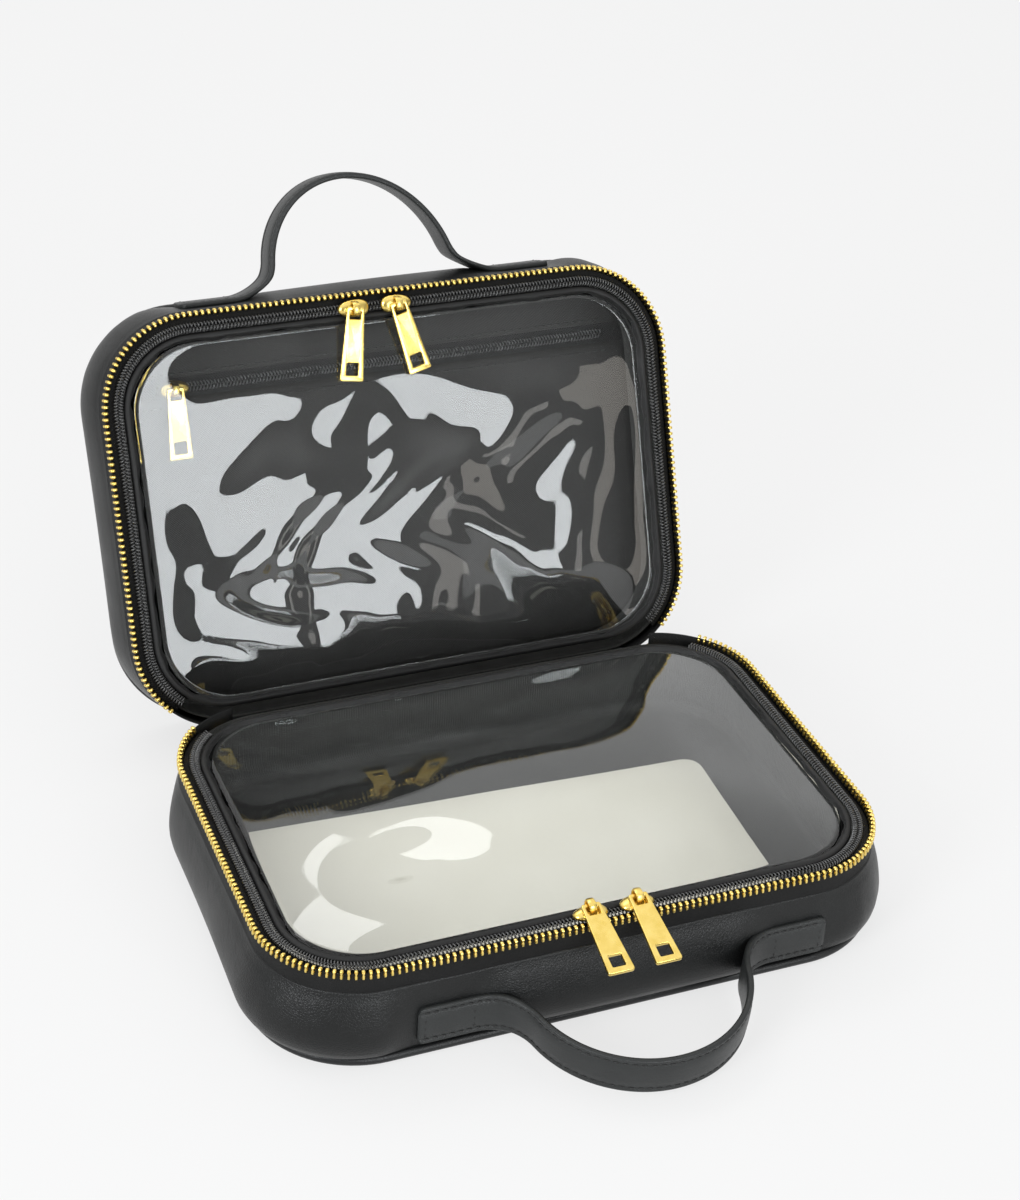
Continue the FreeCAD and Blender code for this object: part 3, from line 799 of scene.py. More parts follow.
def coil(run_start, run_end, place, hand):
    """A springy wire: place gives the axis, the sideways and the upward directions at each run.

    The two hands are half a turn apart, so that their loops pass between each other.
    """
    turns = int((run_end - run_start) / COIL_PITCH)
    run = np.linspace(run_start, run_end, turns * COIL_STEPS)
    phase = 2 * math.pi * np.arange(len(run)) / COIL_STEPS + math.pi * (1 - hand) / 2
    axis, sideways, upward = place(run)
    centre = axis + sideways * (hand * COIL_RADIUS[0] * np.cos(phase))[:, None]
    centre = centre + upward * (COIL_RADIUS[1] * np.sin(phase))[:, None]
    ahead = np.gradient(centre, axis=0)
    ahead /= np.linalg.norm(ahead, axis=1)[:, None]
    first = np.cross(ahead, upward)
    first /= np.linalg.norm(first, axis=1)[:, None]
    second = np.cross(ahead, first)
    turn = np.linspace(0, 2 * math.pi, COIL_SIDES, endpoint=False)
    wire = centre[:, None] + COIL_WIRE * (np.cos(turn)[None, :, None] * first[:, None]
                                          + np.sin(turn)[None, :, None] * second[:, None])
    return skin(wire)


def rim_place(inset, rise):
    """The way of a coil round the rim."""
    def place(run):
        nx, ny = outline(run)[2:]
        outward = np.stack([nx, ny, 0 * nx], -1)
        return at_inset(run, inset, rise), outward, np.tile((0.0, 0.0, 1.0), (len(run), 1))
    return place


def coil_tape(half):
    """The tape climbs behind the teeth and turns in under the outer coil."""
    level = HEIGHT[half] - COIL_BELOW_RIM - COIL_RADIUS[1] - COIL_TAPE_DROP
    turn = np.linspace(0, math.pi / 2, 5)
    bend = COIL_TAPE_OUT + COIL_TAPE_ROUND * (np.cos(turn) - 1)
    out = np.concatenate([[COIL_TAPE_OUT], bend, [COIL_SPREAD - COIL_CENTRE - COIL_TAPE_PAST]])
    rise = level + COIL_TAPE_ROUND * (np.sin(turn) - 1)
    rise = np.concatenate([[HEIGHT[half] - COIL_TAPE_FOOT], rise, [level]])
    outer = np.stack([out, rise], -1)
    inner = (outer - COIL_TAPE_THICK)[::-1]
    return carry(front_run(ZIP_REACH, 3.0), np.concatenate([outer, inner]))


for half in HEIGHT:
    level = HEIGHT[half] - COIL_BELOW_RIM
    piece(half + "_coil_zip_tape", half, coil_tape(half), TAPE, [half + "_coil_tape"])
    for name, hand, body in (("outer", 1, half), ("inner", -1, half + "_window")):
        place = rim_place(COIL_CENTRE - hand * COIL_SPREAD, level)
        piece(f"{half}_{name}_coil", half, coil(-ZIP_REACH, ZIP_REACH, place, hand), NYLON,
              [f"{half}_coil_{name}"], body=body)

# %% [markdown]
# ## Window
# A folded black binding holds the clear film, with one row of stitches along its inner edge. The film is
# heat-formed into a low cushion, so it stands above the rim and its surface rolls in slow waves that bend
# every reflection.

# %% Binding and stitches
BINDING_START = 8.5
BINDING_END = 11.9
BINDING_TOP = 2.2
BINDING_UNDER = 5.0
STITCH_INSET = 10.7
STITCH_LENGTH = 2.5
STITCH_PITCH = 3.6
STITCH_WIDE = 0.55
STITCH_HIGH = 0.4
STITCH_DIP = 0.35
STITCH_SINK = 0.42


def binding(half):
    """A folded strip, whose inner edge the seam puckers a little."""
    run = whole_run(2.0)
    pucker = waves(run, (0.28, 17, 0.1), (0.22, 11.3, 1.0), (0.3, 43, 2.0))
    start, end, top, under = -BINDING_START, -BINDING_END, -BINDING_TOP, -BINDING_UNDER
    shape = [(start, under + 0.3), (start - 0.1, -3.4), (start - 0.6, -2.5), (start - 1.4, top),
             (start - 2.5, top - 0.02), (end + 1.0, top - 0.4), (end + 0.3, -3.1), (end, -3.8),
             (end + 0.4, under), (start - 0.6, under)]
    profile = np.repeat(np.array(shape)[None], len(run), 0)
    profile[:, 4:9, 0] += pucker[:, None] * np.array([0.2, 0.6, 1, 1, 0.8])
    profile[:, 3:6, 1] += 0.12 * pucker[:, None]
    profile[..., 1] += HEIGHT[half]
    return carry(run, profile, close_run=True)


def stitch(length=STITCH_LENGTH):
    """One thread stitch: a bead that dips into the cloth at both ends."""
    turn = np.linspace(0, 2 * math.pi, 6, endpoint=False)
    rings = []
    for place in np.linspace(-1, 1, 6):
        swell = math.sqrt(max(1 - place ** 4, 0.02))
        rings.append(np.stack([np.full(6, place * length / 2), STITCH_WIDE / 2 * swell * np.cos(turn),
                               STITCH_HIGH * swell * np.sin(turn) - STITCH_DIP * place ** 4], -1))
    return skin(np.array(rings))


for half in HEIGHT:
    window = half + "_window"
    piece(half + "_binding", half, binding(half), BINDING, [half + "_window_border"], body=window)
    stitch_run = np.arange(-HALF_ROUND, HALF_ROUND - STITCH_PITCH / 2, STITCH_PITCH)
    seam = set_along(stitch(), stitch_run, STITCH_INSET, HEIGHT[half] - BINDING_TOP - STITCH_SINK)
    piece(half + "_binding_stitches", half, seam, THREAD, body=window)

# %% Film
FILM_INSET = 11.0
FILM_EDGE = 3.6
FILM_CROWN = {"base": 10.5, "lid": 6.0}
FILM_FALL = {"base": (1.6, 2.1), "lid": (4.0, 2.0)}
FILM_DROP = {"base": 0.75, "lid": 0.95}
FILM_PEAK = {"base": (62.0, 0.0), "lid": (0.0, 15.0)}
PULL_STRIP = {"base": (-90.0, -80.0), "lid": (-52.0, -20.0)}
FILM_THICK = 0.4
FILM_HALF = (WIDTH / 2 - FILM_INSET, DEPTH / 2 - FILM_INSET)
# Height, place and breadth of each dent and bump.
BASE_DENTS = ((-2.2, -62, -30, 26, 15), (-2.4, 80, -6, 14, 26), (-1.8, 24, -38, 24, 15),
              (1.0, -20, -26, 18, 13), (1.0, 52, -30, 11, 16))


def base_swell(x, y):
    """Slow rolls of the base film, with soft dents and bumps near the front and the right."""
    total = 0.35 * np.sin(x / 37 + y / 47 + 0.7) + 0.3 * np.sin(y / 15 - x / 70) * soft_step(10, -25, y)
    for height, at_x, at_y, long_x, long_y in BASE_DENTS:
        total = total + height * np.exp(-((x - at_x) / long_x) ** 2 - ((y - at_y) / long_y) ** 2)
    return total


def lid_swell(x, y):
    """Livelier folds of the lid film, bent round each other and closer together at the lower left."""
    bend_x = x + 15 * np.sin(y / 19 + 0.5) + 5 * np.sin(y / 8 + x / 29)
    bend_y = y + 12 * np.sin(x / 25 + 1.7) + 4 * np.sin(x / 9.5 - y / 21)
    folds = 1.3 * np.sin(bend_x / 12.5 + bend_y / 33) + 1.1 * np.sin(bend_y / 10.5 - bend_x / 41 + 0.8)
    busy = np.exp(-(((x + 66) / 44) ** 2 + ((y - 36) / 40) ** 2))
    crumple = 1.0 * busy * np.sin(bend_x / 5.3 + 1.0) * np.sin(bend_y / 6.1)
    left = soft_step(30, -70, x)
    fine = (0.05 + 0.12 * left) * np.sin(bend_x / 2.6 + 2 * np.sin(bend_y / 9)) * np.sin(bend_y / 7.5 + 0.6)
    curl_reach = np.hypot(x + 58, y - 26)
    curl = 1.5 * np.sin(curl_reach / 5.6) * np.exp(-curl_reach / 22)
    return folds * (1 - 0.35 * left) + crumple + fine + curl


def fallen(value, peak, half_length, power, drop):
    """One way of the cushion: 1 at its peak, and less towards both edges."""
    away = np.abs(value - peak) / (half_length - np.sign(value - peak) * peak)
    return 1 - drop * away ** power


def film(half):
    """The lid's film stays low along the front, where the pulls hang over it."""
    swell = base_swell if half == "base" else lid_swell

    def rise(x, y, share):
        dome = FILM_CROWN[half]
        for value, peak, reach, power in zip((x, y), FILM_PEAK[half], FILM_HALF, FILM_FALL[half]):
            dome = dome * fallen(value, peak, reach, power, FILM_DROP[half])
        free = 0.1 + 0.9 * soft_step(*PULL_STRIP[half], y)
        rolls = free * swell(x, y) * (1 - share ** 4)
        return HEIGHT[half] - FILM_EDGE + (1 - share ** 9) * (dome + rolls)
    return spread(FILM_INSET, 72, rise, thick=FILM_THICK, shrink=0.8, step=2.0)


for half in HEIGHT:
    made = piece(half + "_film", half, film(half), FILM, [half + "_window_film"],
                 body=half + "_window")
    anchor = tuple(on_case(half, [(0, 0, HEIGHT[half] - FILM_EDGE)])[0])
    up_from(half)
    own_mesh(made)
    flat, area = flat_cut(FILM_INSET)
print("film cut to", [round(side, 4) for side in flat], "m, area", round(area, 5), "m2")

# %% [markdown]
# ## Spine
# At the back the leather runs on from one half to the other and is the hinge. Open, it folds over like a
# tent. It spans the straight back and a little of each back corner, and is bent as far as the lid is open.

# %% Spine leather
SPINE_LAP = 10.0
SPINE_THICK = 1.0
SPINE_STEPS = 26
SPINE_INSET = 2.1
SPINE_FOOT = FOLD_Z - SPINE_LAP
SPINE_LENGTH = 2 * (FOLD_DROP + SPINE_LAP)
SPINE_TURNING = (FOLD_Z - 4.0, FOLD_Z + 8.0)
ROUND_FOLD = OPEN_ANGLE * (FOLD_Y - DEPTH / 2 + SPINE_INSET + SPINE_THICK / 2)


def spine():
    """An upright strip that turns back about the fold, more and more between two levels."""
    run = np.linspace(SPINE_REACH, 2 * HALF_ROUND - SPINE_REACH, 110)
    x, y, nx, ny = outline(np.where(run > HALF_ROUND, run - 2 * HALF_ROUND, run))
    layers = []
    for out in (-SPINE_INSET, -SPINE_INSET - SPINE_THICK):
        strip = []
        for level in np.linspace(SPINE_FOOT, SPINE_FOOT + SPINE_LENGTH, SPINE_STEPS):
            angle = OPEN_ANGLE * soft_step(*SPINE_TURNING, level)
            strip.append(np.stack([x + nx * out, *about_fold(y + ny * out, level, angle)], -1))
        layers.append(strip)
    both = np.array(layers[0] + layers[1][::-1])
    return skin(both.transpose(1, 0, 2))


spine_leather = piece("spine_leather", "base", spine(), LEATHER, ["spine_strip"], body=False)
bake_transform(spine_leather)
flat = [2 * (HALF_ROUND - SPINE_REACH) * MM, (SPINE_LENGTH + ROUND_FOLD) * MM]
print("spine cut to", [round(side, 4) for side in flat], "m")

# %% [markdown]
# ## Handles
# Each handle is one leather strap, folded over and stitched along both edges. Its ends are sewn flat on
# the front wall, and the middle stands out in an arch that a hand goes through.

# %% Handle route
HANDLE_REACH = 47.0
STRAP_THICK = 2.4
STRAP_WIDTH = 16.0
FOOT_RADIUS = 18.0
STRAP_SAG = {"base": math.radians(6.5), "lid": 0.0}
STRAP_LEAN = {"base": 1.0, "lid": -7.0}
STRAP_SQUEEZE = {"base": 0.0, "lid": 0.07}
STRAP_FREE = (2.0, 10.0)
strap_turn = 2 * math.atan((HANDLE_REACH - STRAP_THICK) / TAB_START)
both_radii = TAB_START / math.sin(strap_turn)
ARCH_RADIUS = both_radii - FOOT_RADIUS
ARCH_MIDDLE = STRAP_THICK / 2 + FOOT_RADIUS - both_radii * math.cos(strap_turn)
foot_run = FOOT_RADIUS * strap_turn
arch_run = ARCH_RADIUS * strap_turn
STRAP_HALF = TAB_LENGTH + foot_run + arch_run


def strap_line(run):
    """Middle line of the strap, run millimetres from the top of the arch: x, reach, and the outward way."""
    side = np.where(run < 0, -1.0, 1.0)
    gone = np.abs(run)
    arch = np.clip(gone, 0, arch_run) / ARCH_RADIUS
    foot = np.clip(gone - arch_run, 0, foot_run) / FOOT_RADIUS
    flat = np.clip(gone - arch_run - foot_run, 0, None)
    heading = arch - foot
    foot_angle = strap_turn - foot
    in_foot = gone > arch_run
    x = np.where(in_foot, TAB_START - FOOT_RADIUS * np.sin(foot_angle) + flat, ARCH_RADIUS * np.sin(arch))
    reach = np.where(in_foot, STRAP_THICK / 2 + FOOT_RADIUS * (1 - np.cos(foot_angle)),
                     ARCH_MIDDLE + ARCH_RADIUS * np.cos(arch))
    return side * x, reach, side * np.sin(heading), np.cos(heading)


def on_front(half, x, reach, wide):
    """Strap points on the front wall. The base's arch hangs a little, and the lid's leans aside."""
    free = soft_step(*STRAP_FREE, reach)
    angle = STRAP_SAG[half] * free
    x = x * (1 - STRAP_SQUEEZE[half] * free) + STRAP_LEAN[half] * free * reach / HANDLE_REACH
    return np.stack([x + HANDLE_X[half], -DEPTH / 2 - (reach * np.cos(angle) + wide * np.sin(angle)),
                     HANDLE_MIDDLE + wide * np.cos(angle) - reach * np.sin(angle)], -1)


# %% Strap and its seams
STRAP_PROFILE = ((0, 1.5), (2.5, 1.48), (4.4, 1.34), (5.3, 1.1), (5.8, 0.86), (6.2, 0.95), (6.7, 1.22),
                 (7.3, 1.25), (7.8, 0.95), (8.0, 0.3), (7.9, -0.5), (7.5, -0.95), (6.5, -1.15), (3.0, -1.2))
STRAP_END_ROUND = 2.5
STRAP_END_THIN = 0.3
STRAP_STITCH_EDGE = 2.1
STRAP_STITCH_LENGTH = 2.4
STRAP_STITCH_PITCH = 3.2
STRAP_STITCH_WIDEN = 1.5
SEAM_LIFT = -0.22
TAB_SEAM_LIFT = 0.05
TAB_SEAMS = (2.4, TAB_LENGTH - 1.0)


def strap(half):
    """The strap's section has a raised middle, a groove at each seam and a rounded edge."""
    run = np.linspace(-STRAP_HALF, STRAP_HALF, 190)
    x, reach, ox, oy = strap_line(run)
    section = list(STRAP_PROFILE) + [(0, -1.2)] + [(-wide, deep) for wide, deep in STRAP_PROFILE[:0:-1]]
    wide, deep = np.array(section).T
    end = np.clip((STRAP_HALF - np.abs(run)) / STRAP_END_ROUND, 0, 1)[:, None]
    narrow = STRAP_WIDTH / 2 - STRAP_END_ROUND + STRAP_END_ROUND * np.sqrt(1 - (1 - end) ** 2)
    wide = np.clip(wide[None], -narrow, narrow)
    deep = deep[None] * (1 - STRAP_END_THIN * (1 - end) ** 3)
    px = x[:, None] + ox[:, None] * deep
    pr = reach[:, None] + oy[:, None] * deep
    return skin(on_front(half, px, np.maximum(pr, 0.05), wide))


def strap_stitches(half):
    """Two rows along the strap's outer face, joined across each tab."""
    points, faces, run_map = stitch(STRAP_STITCH_LENGTH)
    length, breadth, height = (points * (1, STRAP_STITCH_WIDEN, 1)).T
    copies = []

    def sew(run, wide, lift):
        x, reach, ox, oy = strap_line(run)
        lift = STRAP_THICK / 2 + lift + height
        copies.append((on_front(half, x + ox * lift, reach + oy * lift, wide), faces, run_map))

    row = STRAP_WIDTH / 2 - STRAP_STITCH_EDGE
    for run in np.arange(-STRAP_HALF + 3, STRAP_HALF - 2, STRAP_STITCH_PITCH):
        for wide in (row, -row):
            sew(run + length, wide + breadth, SEAM_LIFT)
    for side in (-1, 1):
        for from_end in TAB_SEAMS:
            for wide in np.arange(-row + 2, row - 1, STRAP_STITCH_PITCH):
                sew(side * (STRAP_HALF - from_end) + breadth, wide + length, TAB_SEAM_LIFT)
    return gather(copies)


# %% Handles
STRAP_LOOSE = (3.0, 11.0)
for half in HEIGHT:
    handle = piece(half + "_strap", half, strap(half), STRAP,
                   [half + "_handle_strap", half + "_handle_tabs"], body=False)
    seams = piece(half + "_strap_stitches", half, strap_stitches(half), THREAD, body=False)
    ends = on_case(half, [(HANDLE_X[half], -DEPTH / 2 - reach, HANDLE_MIDDLE) for reach in STRAP_LOOSE])
    for made in (handle, seams):
        tuple(ends[0])
        tuple(ends[1])
        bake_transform(made)

# %% [markdown]
# ## Sliders and pulls
# The gold sliders are castings with a rounded nose and a small bridge, and each pull is a thick tapered tab
# with a slot for the bridge and a square window. Flat outlines with bevelled edges give the cast look.

# %% Flat plates with rounded edges
def rounded(corners, radius, steps):
    """A closed outline with its corners rounded."""
    corners = [Vector(corner) for corner in corners]
    points = []
    for before, corner, after in zip(corners[-1:] + corners[:-1], corners, corners[1:] + corners[:1]):
        into = corner + (before - corner).normalized() * radius
        out = corner + (after - corner).normalized() * radius
        for share in np.linspace(0, 1, steps):
            points.append(tuple(into.lerp(corner, share).lerp(corner.lerp(out, share), share)))
    return points


def rounded_box(x_low, y_low, x_high, y_high, radius, steps=4):
    return rounded([(x_low, y_low), (x_high, y_low), (x_high, y_high), (x_low, y_high)], radius, steps)


def plate(outlines, thick, bevel):
    """A solid plate: the first outline is its edge and the rest are holes."""
    curve = bpy.data.curves.new("plate", "CURVE")
    curve.dimensions = "2D"
    curve.fill_mode = "BOTH"
    curve.extrude = thick / 2 - bevel
    curve.bevel_depth = bevel
    curve.bevel_resolution = 2
    curve.offset = -bevel
    for outline_points in outlines:
        spline = curve.splines.new("POLY")
        spline.points.add(len(outline_points) - 1)
        for point, (x, y) in zip(spline.points, outline_points):
            point.co = (x, y, 0, 1)
        spline.use_cyclic_u = True
    holder = bpy.data.objects.new("plate", curve)
    mesh = bpy.data.meshes.new_from_object(holder)
    work = bmesh.new()
    work.from_mesh(mesh)
    bmesh.ops.remove_doubles(work, verts=work.verts, dist=0.001)
    points = np.array([vert.co for vert in work.verts])
    work.verts.index_update()
    faces = [tuple(vert.index for vert in face.verts) for face in work.faces]
    work.free()
    bpy.data.objects.remove(holder)
    return points, faces, [(points[k][0], points[k][1]) for face in faces for k in face]


# %% Slider and pull shapes
SLIDER_BODY = 13.0
SLIDER_WIDE = 3.55
SLIDER_PLATE = 2.0
SLIDER_GAP = 0.2
SLIDER_RINGS = ((0.80, 0.0), (0.93, 0.15), (1.0, 0.6), (1.0, 1.1), (0.97, 1.6), (0.90, 2.05), (0.78, 2.45),
                (0.60, 2.8), (0.38, 3.02), (0.12, 3.1))
CAST_BEVEL = 0.4
BRIDGE_SINK = 0.4
BRIDGE_WIDTH = 2.8
BRIDGE_SPAN = 6.0
BRIDGE_TOP = 7.0
BRIDGE_WIRE = 1.0
BAR_RISE = 4.4
PULL_LENGTH = 30.0
PULL_THICK = 1.7
PULL_EYE = 7.2
PULL_END = 10.0
PULL_SLOT = 4.2
PULL_PLAY = 0.9
PULL_ROUND = 1.0
PULL_WINDOW = 5.0
PULL_WINDOW_EDGE = 2.4
HOLE_ROUND = 0.4
STOP_SIZE = (3.4, -2.6, 8.0)
STOP_ROUND = 0.8
STOP_THICK = 3.4
STOP_RISE = 0.3


def slider(nose):
    """An egg-shaped body with its thin end to one side, and a bridge over the bar of the pull."""
    turn = np.linspace(0, 2 * math.pi, 40, endpoint=False)
    along = np.cos(turn)
    egg = 1 + 0.10 * nose * along - 0.12 * np.maximum(-nose * along, 0) ** 4
    x = SLIDER_BODY / 2 * squared(along, 0.9)
    y = SLIDER_WIDE * egg * squared(np.sin(turn), 0.85)
    body = [np.stack([x * size, y * size, np.full(40, SLIDER_GAP + rise)], -1) for size, rise in SLIDER_RINGS]
    span = BRIDGE_SPAN / 2 - BRIDGE_WIRE / 2
    foot = SLIDER_GAP + SLIDER_PLATE - BRIDGE_SINK
    arch = BRIDGE_TOP - BRIDGE_WIRE / 2 - foot
    ring = ring_points(BRIDGE_WIDTH, BRIDGE_WIRE, 10)
    bridge = []
    for angle in np.linspace(0, math.pi, 15):
        centre = np.array([0, span * squared(math.cos(angle), 0.5), foot + arch * math.sin(angle) ** 0.6])
        away = np.array([0, math.cos(angle), math.sin(angle)])
        bridge.append(centre + ring[:, :1] * np.array([1.0, 0, 0]) + ring[:, 1:] * away)
    return gather([skin(np.array(body)), skin(np.array(bridge))])


def pull():
    """Tapered tab about its bar, Y along its length."""
    near = -PULL_THICK / 2
    far = near + PULL_LENGTH
    corners = [(-PULL_EYE / 2, near), (PULL_EYE / 2, near), (PULL_END / 2, far), (-PULL_END / 2, far)]
    slot = BRIDGE_WIDTH / 2 + PULL_PLAY
    eye = rounded_box(-slot, PULL_THICK / 2, slot, PULL_SLOT, HOLE_ROUND)
    top = far - PULL_WINDOW_EDGE
    hole = rounded_box(-PULL_WINDOW / 2, top - PULL_WINDOW, PULL_WINDOW / 2, top, HOLE_ROUND)
    return plate([rounded(corners, PULL_ROUND, 4), eye, hole], PULL_THICK, CAST_BEVEL)


def stand(shape, origin, lie, up):
    """Moves a shape from its own axes to a place in a half's axes."""
    points, faces, run_map = shape
    lie, up = np.array(lie, float), np.array(up, float)
    axes = np.stack([np.cross(lie, up), lie, up])
    return points @ axes + np.array(origin), faces, run_map


def tilted(shape, slope, lean):
    """Dips a pull about its bar and leans it sideways."""
    points, faces, run_map = shape
    turn = Matrix.Rotation(math.radians(lean), 3, "Z") @ Matrix.Rotation(math.radians(-slope), 3, "X")
    return points @ np.array(turn).T, faces, run_map


def stop_block():
    """The block behind a main slider, which stands on the top edge of the wall."""
    wide, top, foot = STOP_SIZE
    points, faces, run_map = plate([rounded_box(-wide, top, wide, foot, STOP_ROUND)], STOP_THICK, CAST_BEVEL)
    return points + np.array([0, 0, SLIDER_GAP + STOP_RISE - STOP_THICK / 2]), faces, run_map


def slider_and_pull(half, name, pull_name, origin, lie, up, slope, lean, nose, bodies, stop=False):
    """A slider with its pull, which lies along one direction and may have a stop behind it."""
    casting = gather([slider(nose), stop_block()]) if stop else slider(nose)
    piece(name + "_casting", half, stand(casting, origin, lie, up), GOLD,
          [name], body=bodies[0], crease=35)
    bar = np.array(origin, float) + np.array(up, float) * BAR_RISE
    piece(pull_name + "_tab", half, stand(tilted(pull(), slope, lean), bar, lie, up), GOLD,
          [pull_name], body=bodies[1], crease=35)


# %% Window sliders, pocket slider and main sliders
# Side, place along the front, lean of the pull in degrees, and the nose's way in the slider's own axes.
BASE_SLIDERS = (("left", -6.0, 0.0, -1), ("right", 12.0, 0.0, 1))
LID_SLIDERS = (("left", -15.0, 9.0, 1), ("right", 3.0, -14.0, -1))
BASE_SLOPE, LID_SLOPE, POCKET_SLOPE = 14.0, 3.0, 8.0
SLIDER_BELOW_RIM = 2.0
UP = (0, 0, 1)
POCKET_SLIDER = (-85.0, -52.0, 6.4)
MAIN_TURN = math.radians(70.0)
MAIN_RISE = 8.0
MAIN_PROUD = 0.3
for half, sliders, lie, slope in (("base", BASE_SLIDERS, (0, -1, 0), BASE_SLOPE),
                                  ("lid", LID_SLIDERS, (0, 1, 0), LID_SLOPE)):
    for side, x, lean, nose in sliders:
        names = f"{half}_slider_{side}", f"{half}_pull_{side}"
        origin = (x, COIL_CENTRE - DEPTH / 2, HEIGHT[half] - SLIDER_BELOW_RIM)
        slider_and_pull(half, *names, origin, lie, UP, slope, lean, nose, names)
names = "pocket_slider", "pocket_pull"
slider_and_pull("lid", *names, POCKET_SLIDER, (0, 1, 0), UP, POCKET_SLOPE, 0.0, -1, names)
for side, sign in (("left", -1), ("right", 1)):
    names = "main_slider_" + side, "main_pull_" + side
    normal = np.array([sign * math.cos(MAIN_TURN), math.sin(MAIN_TURN), 0])
    middle = np.array([sign * STRAIGHT_X, STRAIGHT_Y, FOLD_Z + MAIN_RISE])
    slider_and_pull("base", *names, middle + normal * (CORNER + MAIN_PROUD), (0, 0, -1), normal, 0.0, 0.0, 1,
                    ("base", names[1]), stop=True)

# %% [markdown]
# ## Pocket and card
# The lid's floor is a flat zipped pocket: a strip, a zip and a stitched panel that billows a little.
# On the base's floor lies a loose warm-white card.

# %% Pocket
POCKET_INSET = 5.0
POCKET_LEVEL = 5.2
POCKET_THICK = 0.9
POCKET_ZIP_Y = POCKET_SLIDER[1]
POCKET_ZIP_X = (-92.0, 104.0)
POCKET_ZIP_HALF = 4.0
POCKET_TAPE_HALF = 4.2
POCKET_FLAT = (-26.0, 0.0)
POCKET_COIL_LEVEL = 5.45
POCKET_EDGE = DEPTH / 2 - POCKET_INSET
POCKET_ROWS = 34
# Half length, place and height above the pocket of each row of stitches.
POCKET_SEAMS = ((108.0, -44.5, 0.55), (106.0, POCKET_ZIP_Y - 6.0, 0.3))


def pocket_half_width(rows):
    """Half the pocket's width at each height, narrower in the rounded corners."""
    inner = CORNER - POCKET_INSET
    reach = np.clip(np.abs(rows) - STRAIGHT_Y, 0, inner)
    return STRAIGHT_X + np.sqrt(inner ** 2 - reach ** 2)


def pocket_sheet(y_low, y_high, billow):
    """A strip of the pocket between two heights."""
    rows = np.linspace(y_low, y_high, POCKET_ROWS)
    share = np.linspace(-1, 1, 60)
    x = pocket_half_width(rows)[:, None] * share
    y = rows[:, None] + 0 * x
    fade = (1 - share[None] ** 6) * np.sin(math.pi * np.linspace(0, 1, POCKET_ROWS))[:, None] ** 0.5
    fade = fade * soft_step(*POCKET_FLAT, y)
    z = POCKET_LEVEL + billow * fade * (0.5 + 0.35 * np.sin(x / 23 + y / 31) + 0.25 * np.sin(x / 11 - y / 17))
    top = np.stack([x, y, z], -1)
    under = top.copy()
    under[..., 2] = POCKET_LEVEL - POCKET_THICK
    return skin(np.concatenate([top, under[:, ::-1]], 1))


def pocket_line(level, y):
    """The way of a coil across the pocket."""
    def place(run):
        axis = np.stack([run, np.full(len(run), y), np.full(len(run), level)], -1)
        return axis, np.tile((0.0, 1.0, 0.0), (len(run), 1)), np.tile((0.0, 0.0, 1.0), (len(run), 1))
    return place


def stitch_row(reach, y, level):
    points, faces, run_map = stitch()
    return gather([(points + np.array([x, y, level]), faces, run_map)
                   for x in np.arange(-reach, reach, STITCH_PITCH)])


for name, node, y_low, y_high, billow in (
        ("pocket_strip_cloth", "pocket_top_strip", -POCKET_EDGE, POCKET_ZIP_Y - POCKET_ZIP_HALF, 0.5),
        ("pocket_panel_cloth", "pocket_panel", POCKET_ZIP_Y + POCKET_ZIP_HALF, POCKET_EDGE, 2.2)):
    made = piece(name, "lid", pocket_sheet(y_low, y_high, billow), POCKET, [node])
    widths = 2 * pocket_half_width(np.linspace(y_low, y_high, 200))
    flat = [widths.max() * MM, (y_high - y_low) * MM]
    area = widths.mean() * MM * flat[1]
    print(name, "cut to", [round(side, 4) for side in flat], "m, area", round(area, 5), "m2")
tape = pocket_sheet(POCKET_ZIP_Y - POCKET_TAPE_HALF, POCKET_ZIP_Y + POCKET_TAPE_HALF, 0.0)
piece("pocket_tape_cloth", "lid", tape, TAPE, ["pocket_zip_tape"])
coils = [coil(*POCKET_ZIP_X, pocket_line(POCKET_COIL_LEVEL, POCKET_ZIP_Y + hand * COIL_SPREAD), hand)
         for hand in (-1, 1)]
piece("pocket_coils", "lid", gather(coils), NYLON, ["pocket_coil"])
rows = [stitch_row(reach, y, POCKET_LEVEL + lift) for reach, y, lift in POCKET_SEAMS]
piece("pocket_stitches", "lid", gather(rows), THREAD)

# %% Card
CARD_SIZE = (196.0, 110.0)
CARD_ROUND = 8.0
CARD_THICK = 0.6
CARD_BEVEL = 0.12
CARD_TURN = math.radians(-2.5)
CARD_PLACE = (-6.0, -11.0)
CARD_LEVEL = 4.75


def card():
    x, y = CARD_SIZE[0] / 2, CARD_SIZE[1] / 2
    points, faces, run_map = plate([rounded_box(-x, -y, x, y, CARD_ROUND, 7)], CARD_THICK, CARD_BEVEL)
    x, y = points[:, 0].copy(), points[:, 1].copy()
    points[:, 0] = x * math.cos(CARD_TURN) - y * math.sin(CARD_TURN) + CARD_PLACE[0]
    points[:, 1] = x * math.sin(CARD_TURN) + y * math.cos(CARD_TURN) + CARD_PLACE[1]
    points[:, 2] += CARD_LEVEL
    return points, faces, run_map


made = piece("card", "base", card(), CARD, ["insert_card"], crease=30)
flat = [side * MM for side in CARD_SIZE]
area = flat[0] * flat[1] - (4 - math.pi) * (CARD_ROUND * MM) ** 2
print("card cut to", flat, "m")

# %% [markdown]
# ## Floor and light
# The case stands on a plain pale floor. The room is pale overhead and behind, which gives the even light.
# Softboxes at the front and the left, and strips at the right and behind, show as shapes in the films and
# the gold. The room is dimmer towards the front, so the films stay clear.

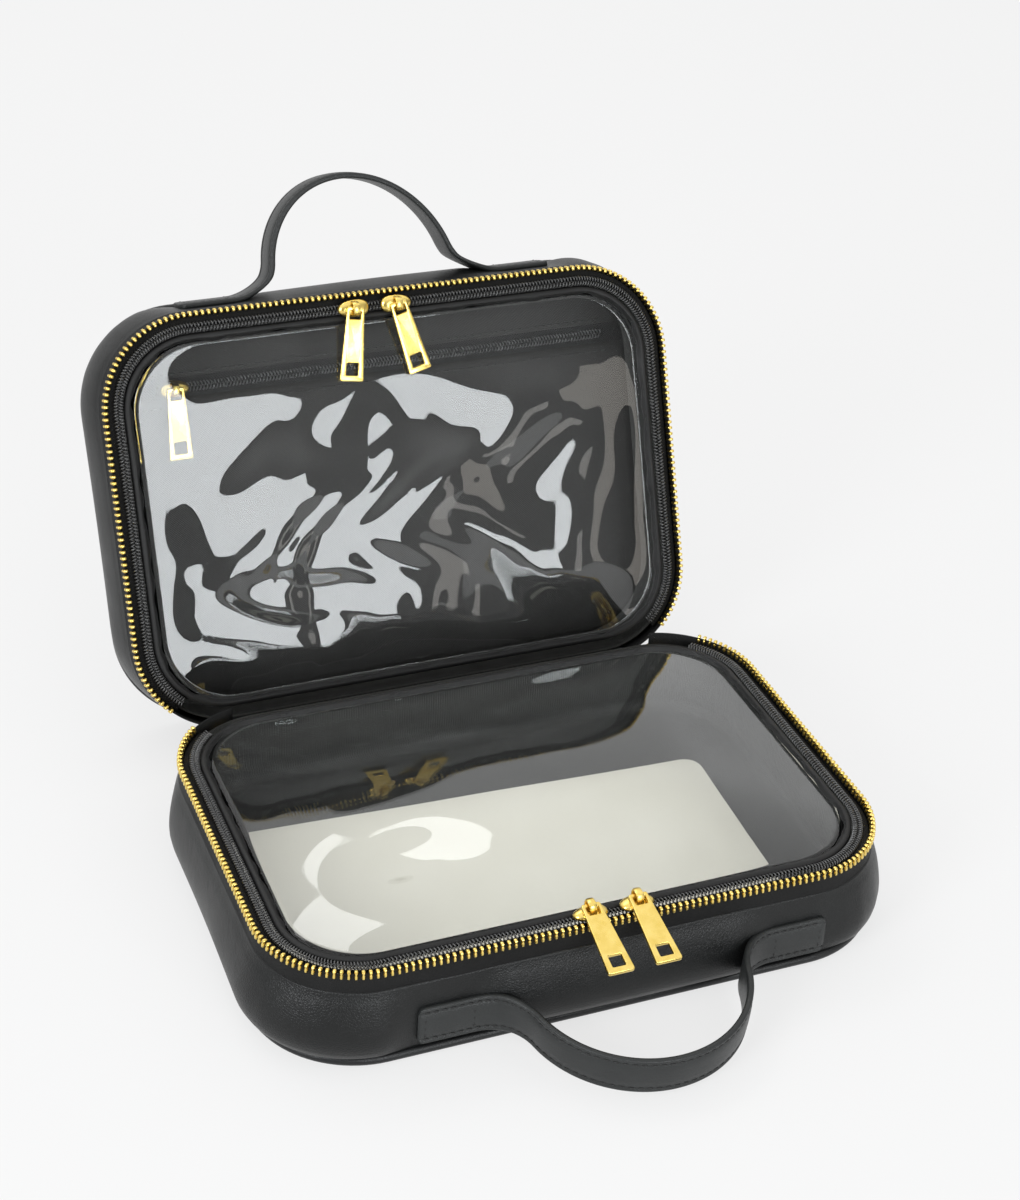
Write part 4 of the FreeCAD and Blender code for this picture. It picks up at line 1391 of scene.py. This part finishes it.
# %% Floor, lamps and room
HALF_FLOOR = 6.0
FLOOR_LEVEL = -0.0003
floor_mesh = bpy.data.meshes.new("floor")
corners = [(x * HALF_FLOOR, y * HALF_FLOOR, 0) for x, y in ((-1, -1), (1, -1), (1, 1), (-1, 1))]
floor_mesh.from_pydata(corners, [], [(0, 1, 2, 3)])
floor = bpy.data.objects.new("floor", floor_mesh)
floor.location.z = FLOOR_LEVEL
bpy.context.scene.collection.objects.link(floor)
floor_finish = start_finish("pale_floor", Base_Color=(0.16, 0.16, 0.16, 1), Roughness=1.0,
                            Specular_IOR_Level=0.0, Emission_Color=(1, 1, 1, 1), Emission_Strength=0.71)[0]
floor_mesh.materials.append(floor_finish)


def lamp(name, place, aim, size, power, colour=(1, 1, 1)):
    light = bpy.data.lights.new(name, "AREA")
    light.shape = "RECTANGLE"
    light.size, light.size_y = size
    light.energy = power
    light.color = colour
    made = bpy.data.objects.new(name, light)
    made.location = place
    made.rotation_euler = (Vector(aim) - Vector(place)).to_track_quat("-Z", "Y").to_euler()
    bpy.context.scene.collection.objects.link(made)


lamp("back_strip", (-0.35, 0.95, 1.45), (0, 0.0, 0.05), (1.3, 0.35), 4.0)
lamp("softbox", (0.20, -1.75, 0.52), (0, 0.1, 0.1), (0.95, 0.85), 19.0, (0.95, 0.98, 1.0))
lamp("side_softbox", (-1.5, -0.8, 0.75), (0, 0.0, 0.1), (0.6, 0.9), 19.0, (0.95, 0.98, 1.0))
lamp("warm_strip", (1.25, -1.35, 0.45), (0, 0.1, 0.1), (0.22, 0.8), 0.8, (1.0, 0.93, 0.85))
lamp("grey_strip", (0.95, -1.65, 0.30), (0, 0.1, 0.1), (0.12, 0.6), 0.35, (1.0, 0.95, 0.9))


def make_room():
    """Soft surroundings: pale overhead and behind, dim towards the front."""
    room = bpy.data.worlds.new("room")
    room.use_nodes = True
    tree = room.node_tree
    way = add(tree, "SeparateXYZ", {"Vector": add(tree, "TexCoord").outputs["Generated"]}).outputs
    lean = maths(tree, "ADD", way["Z"], maths(tree, "MULTIPLY", way["Y"], 0.35))
    glow = add(tree, "MapRange", {"Value": lean, "From Min": 0.0, "From Max": 0.75,
                                  "To Min": 0.25, "To Max": 1.15}, interpolation_type="SMOOTHSTEP")
    tree.links.new(glow.outputs["Result"], tree.nodes["Background"].inputs["Strength"])
    tree.nodes["Background"].inputs["Color"].default_value = (1, 1, 1, 1)
    return room


ROOM = make_room()
bpy.context.scene.world = ROOM
bpy.context.scene.view_settings.view_transform = "Standard"
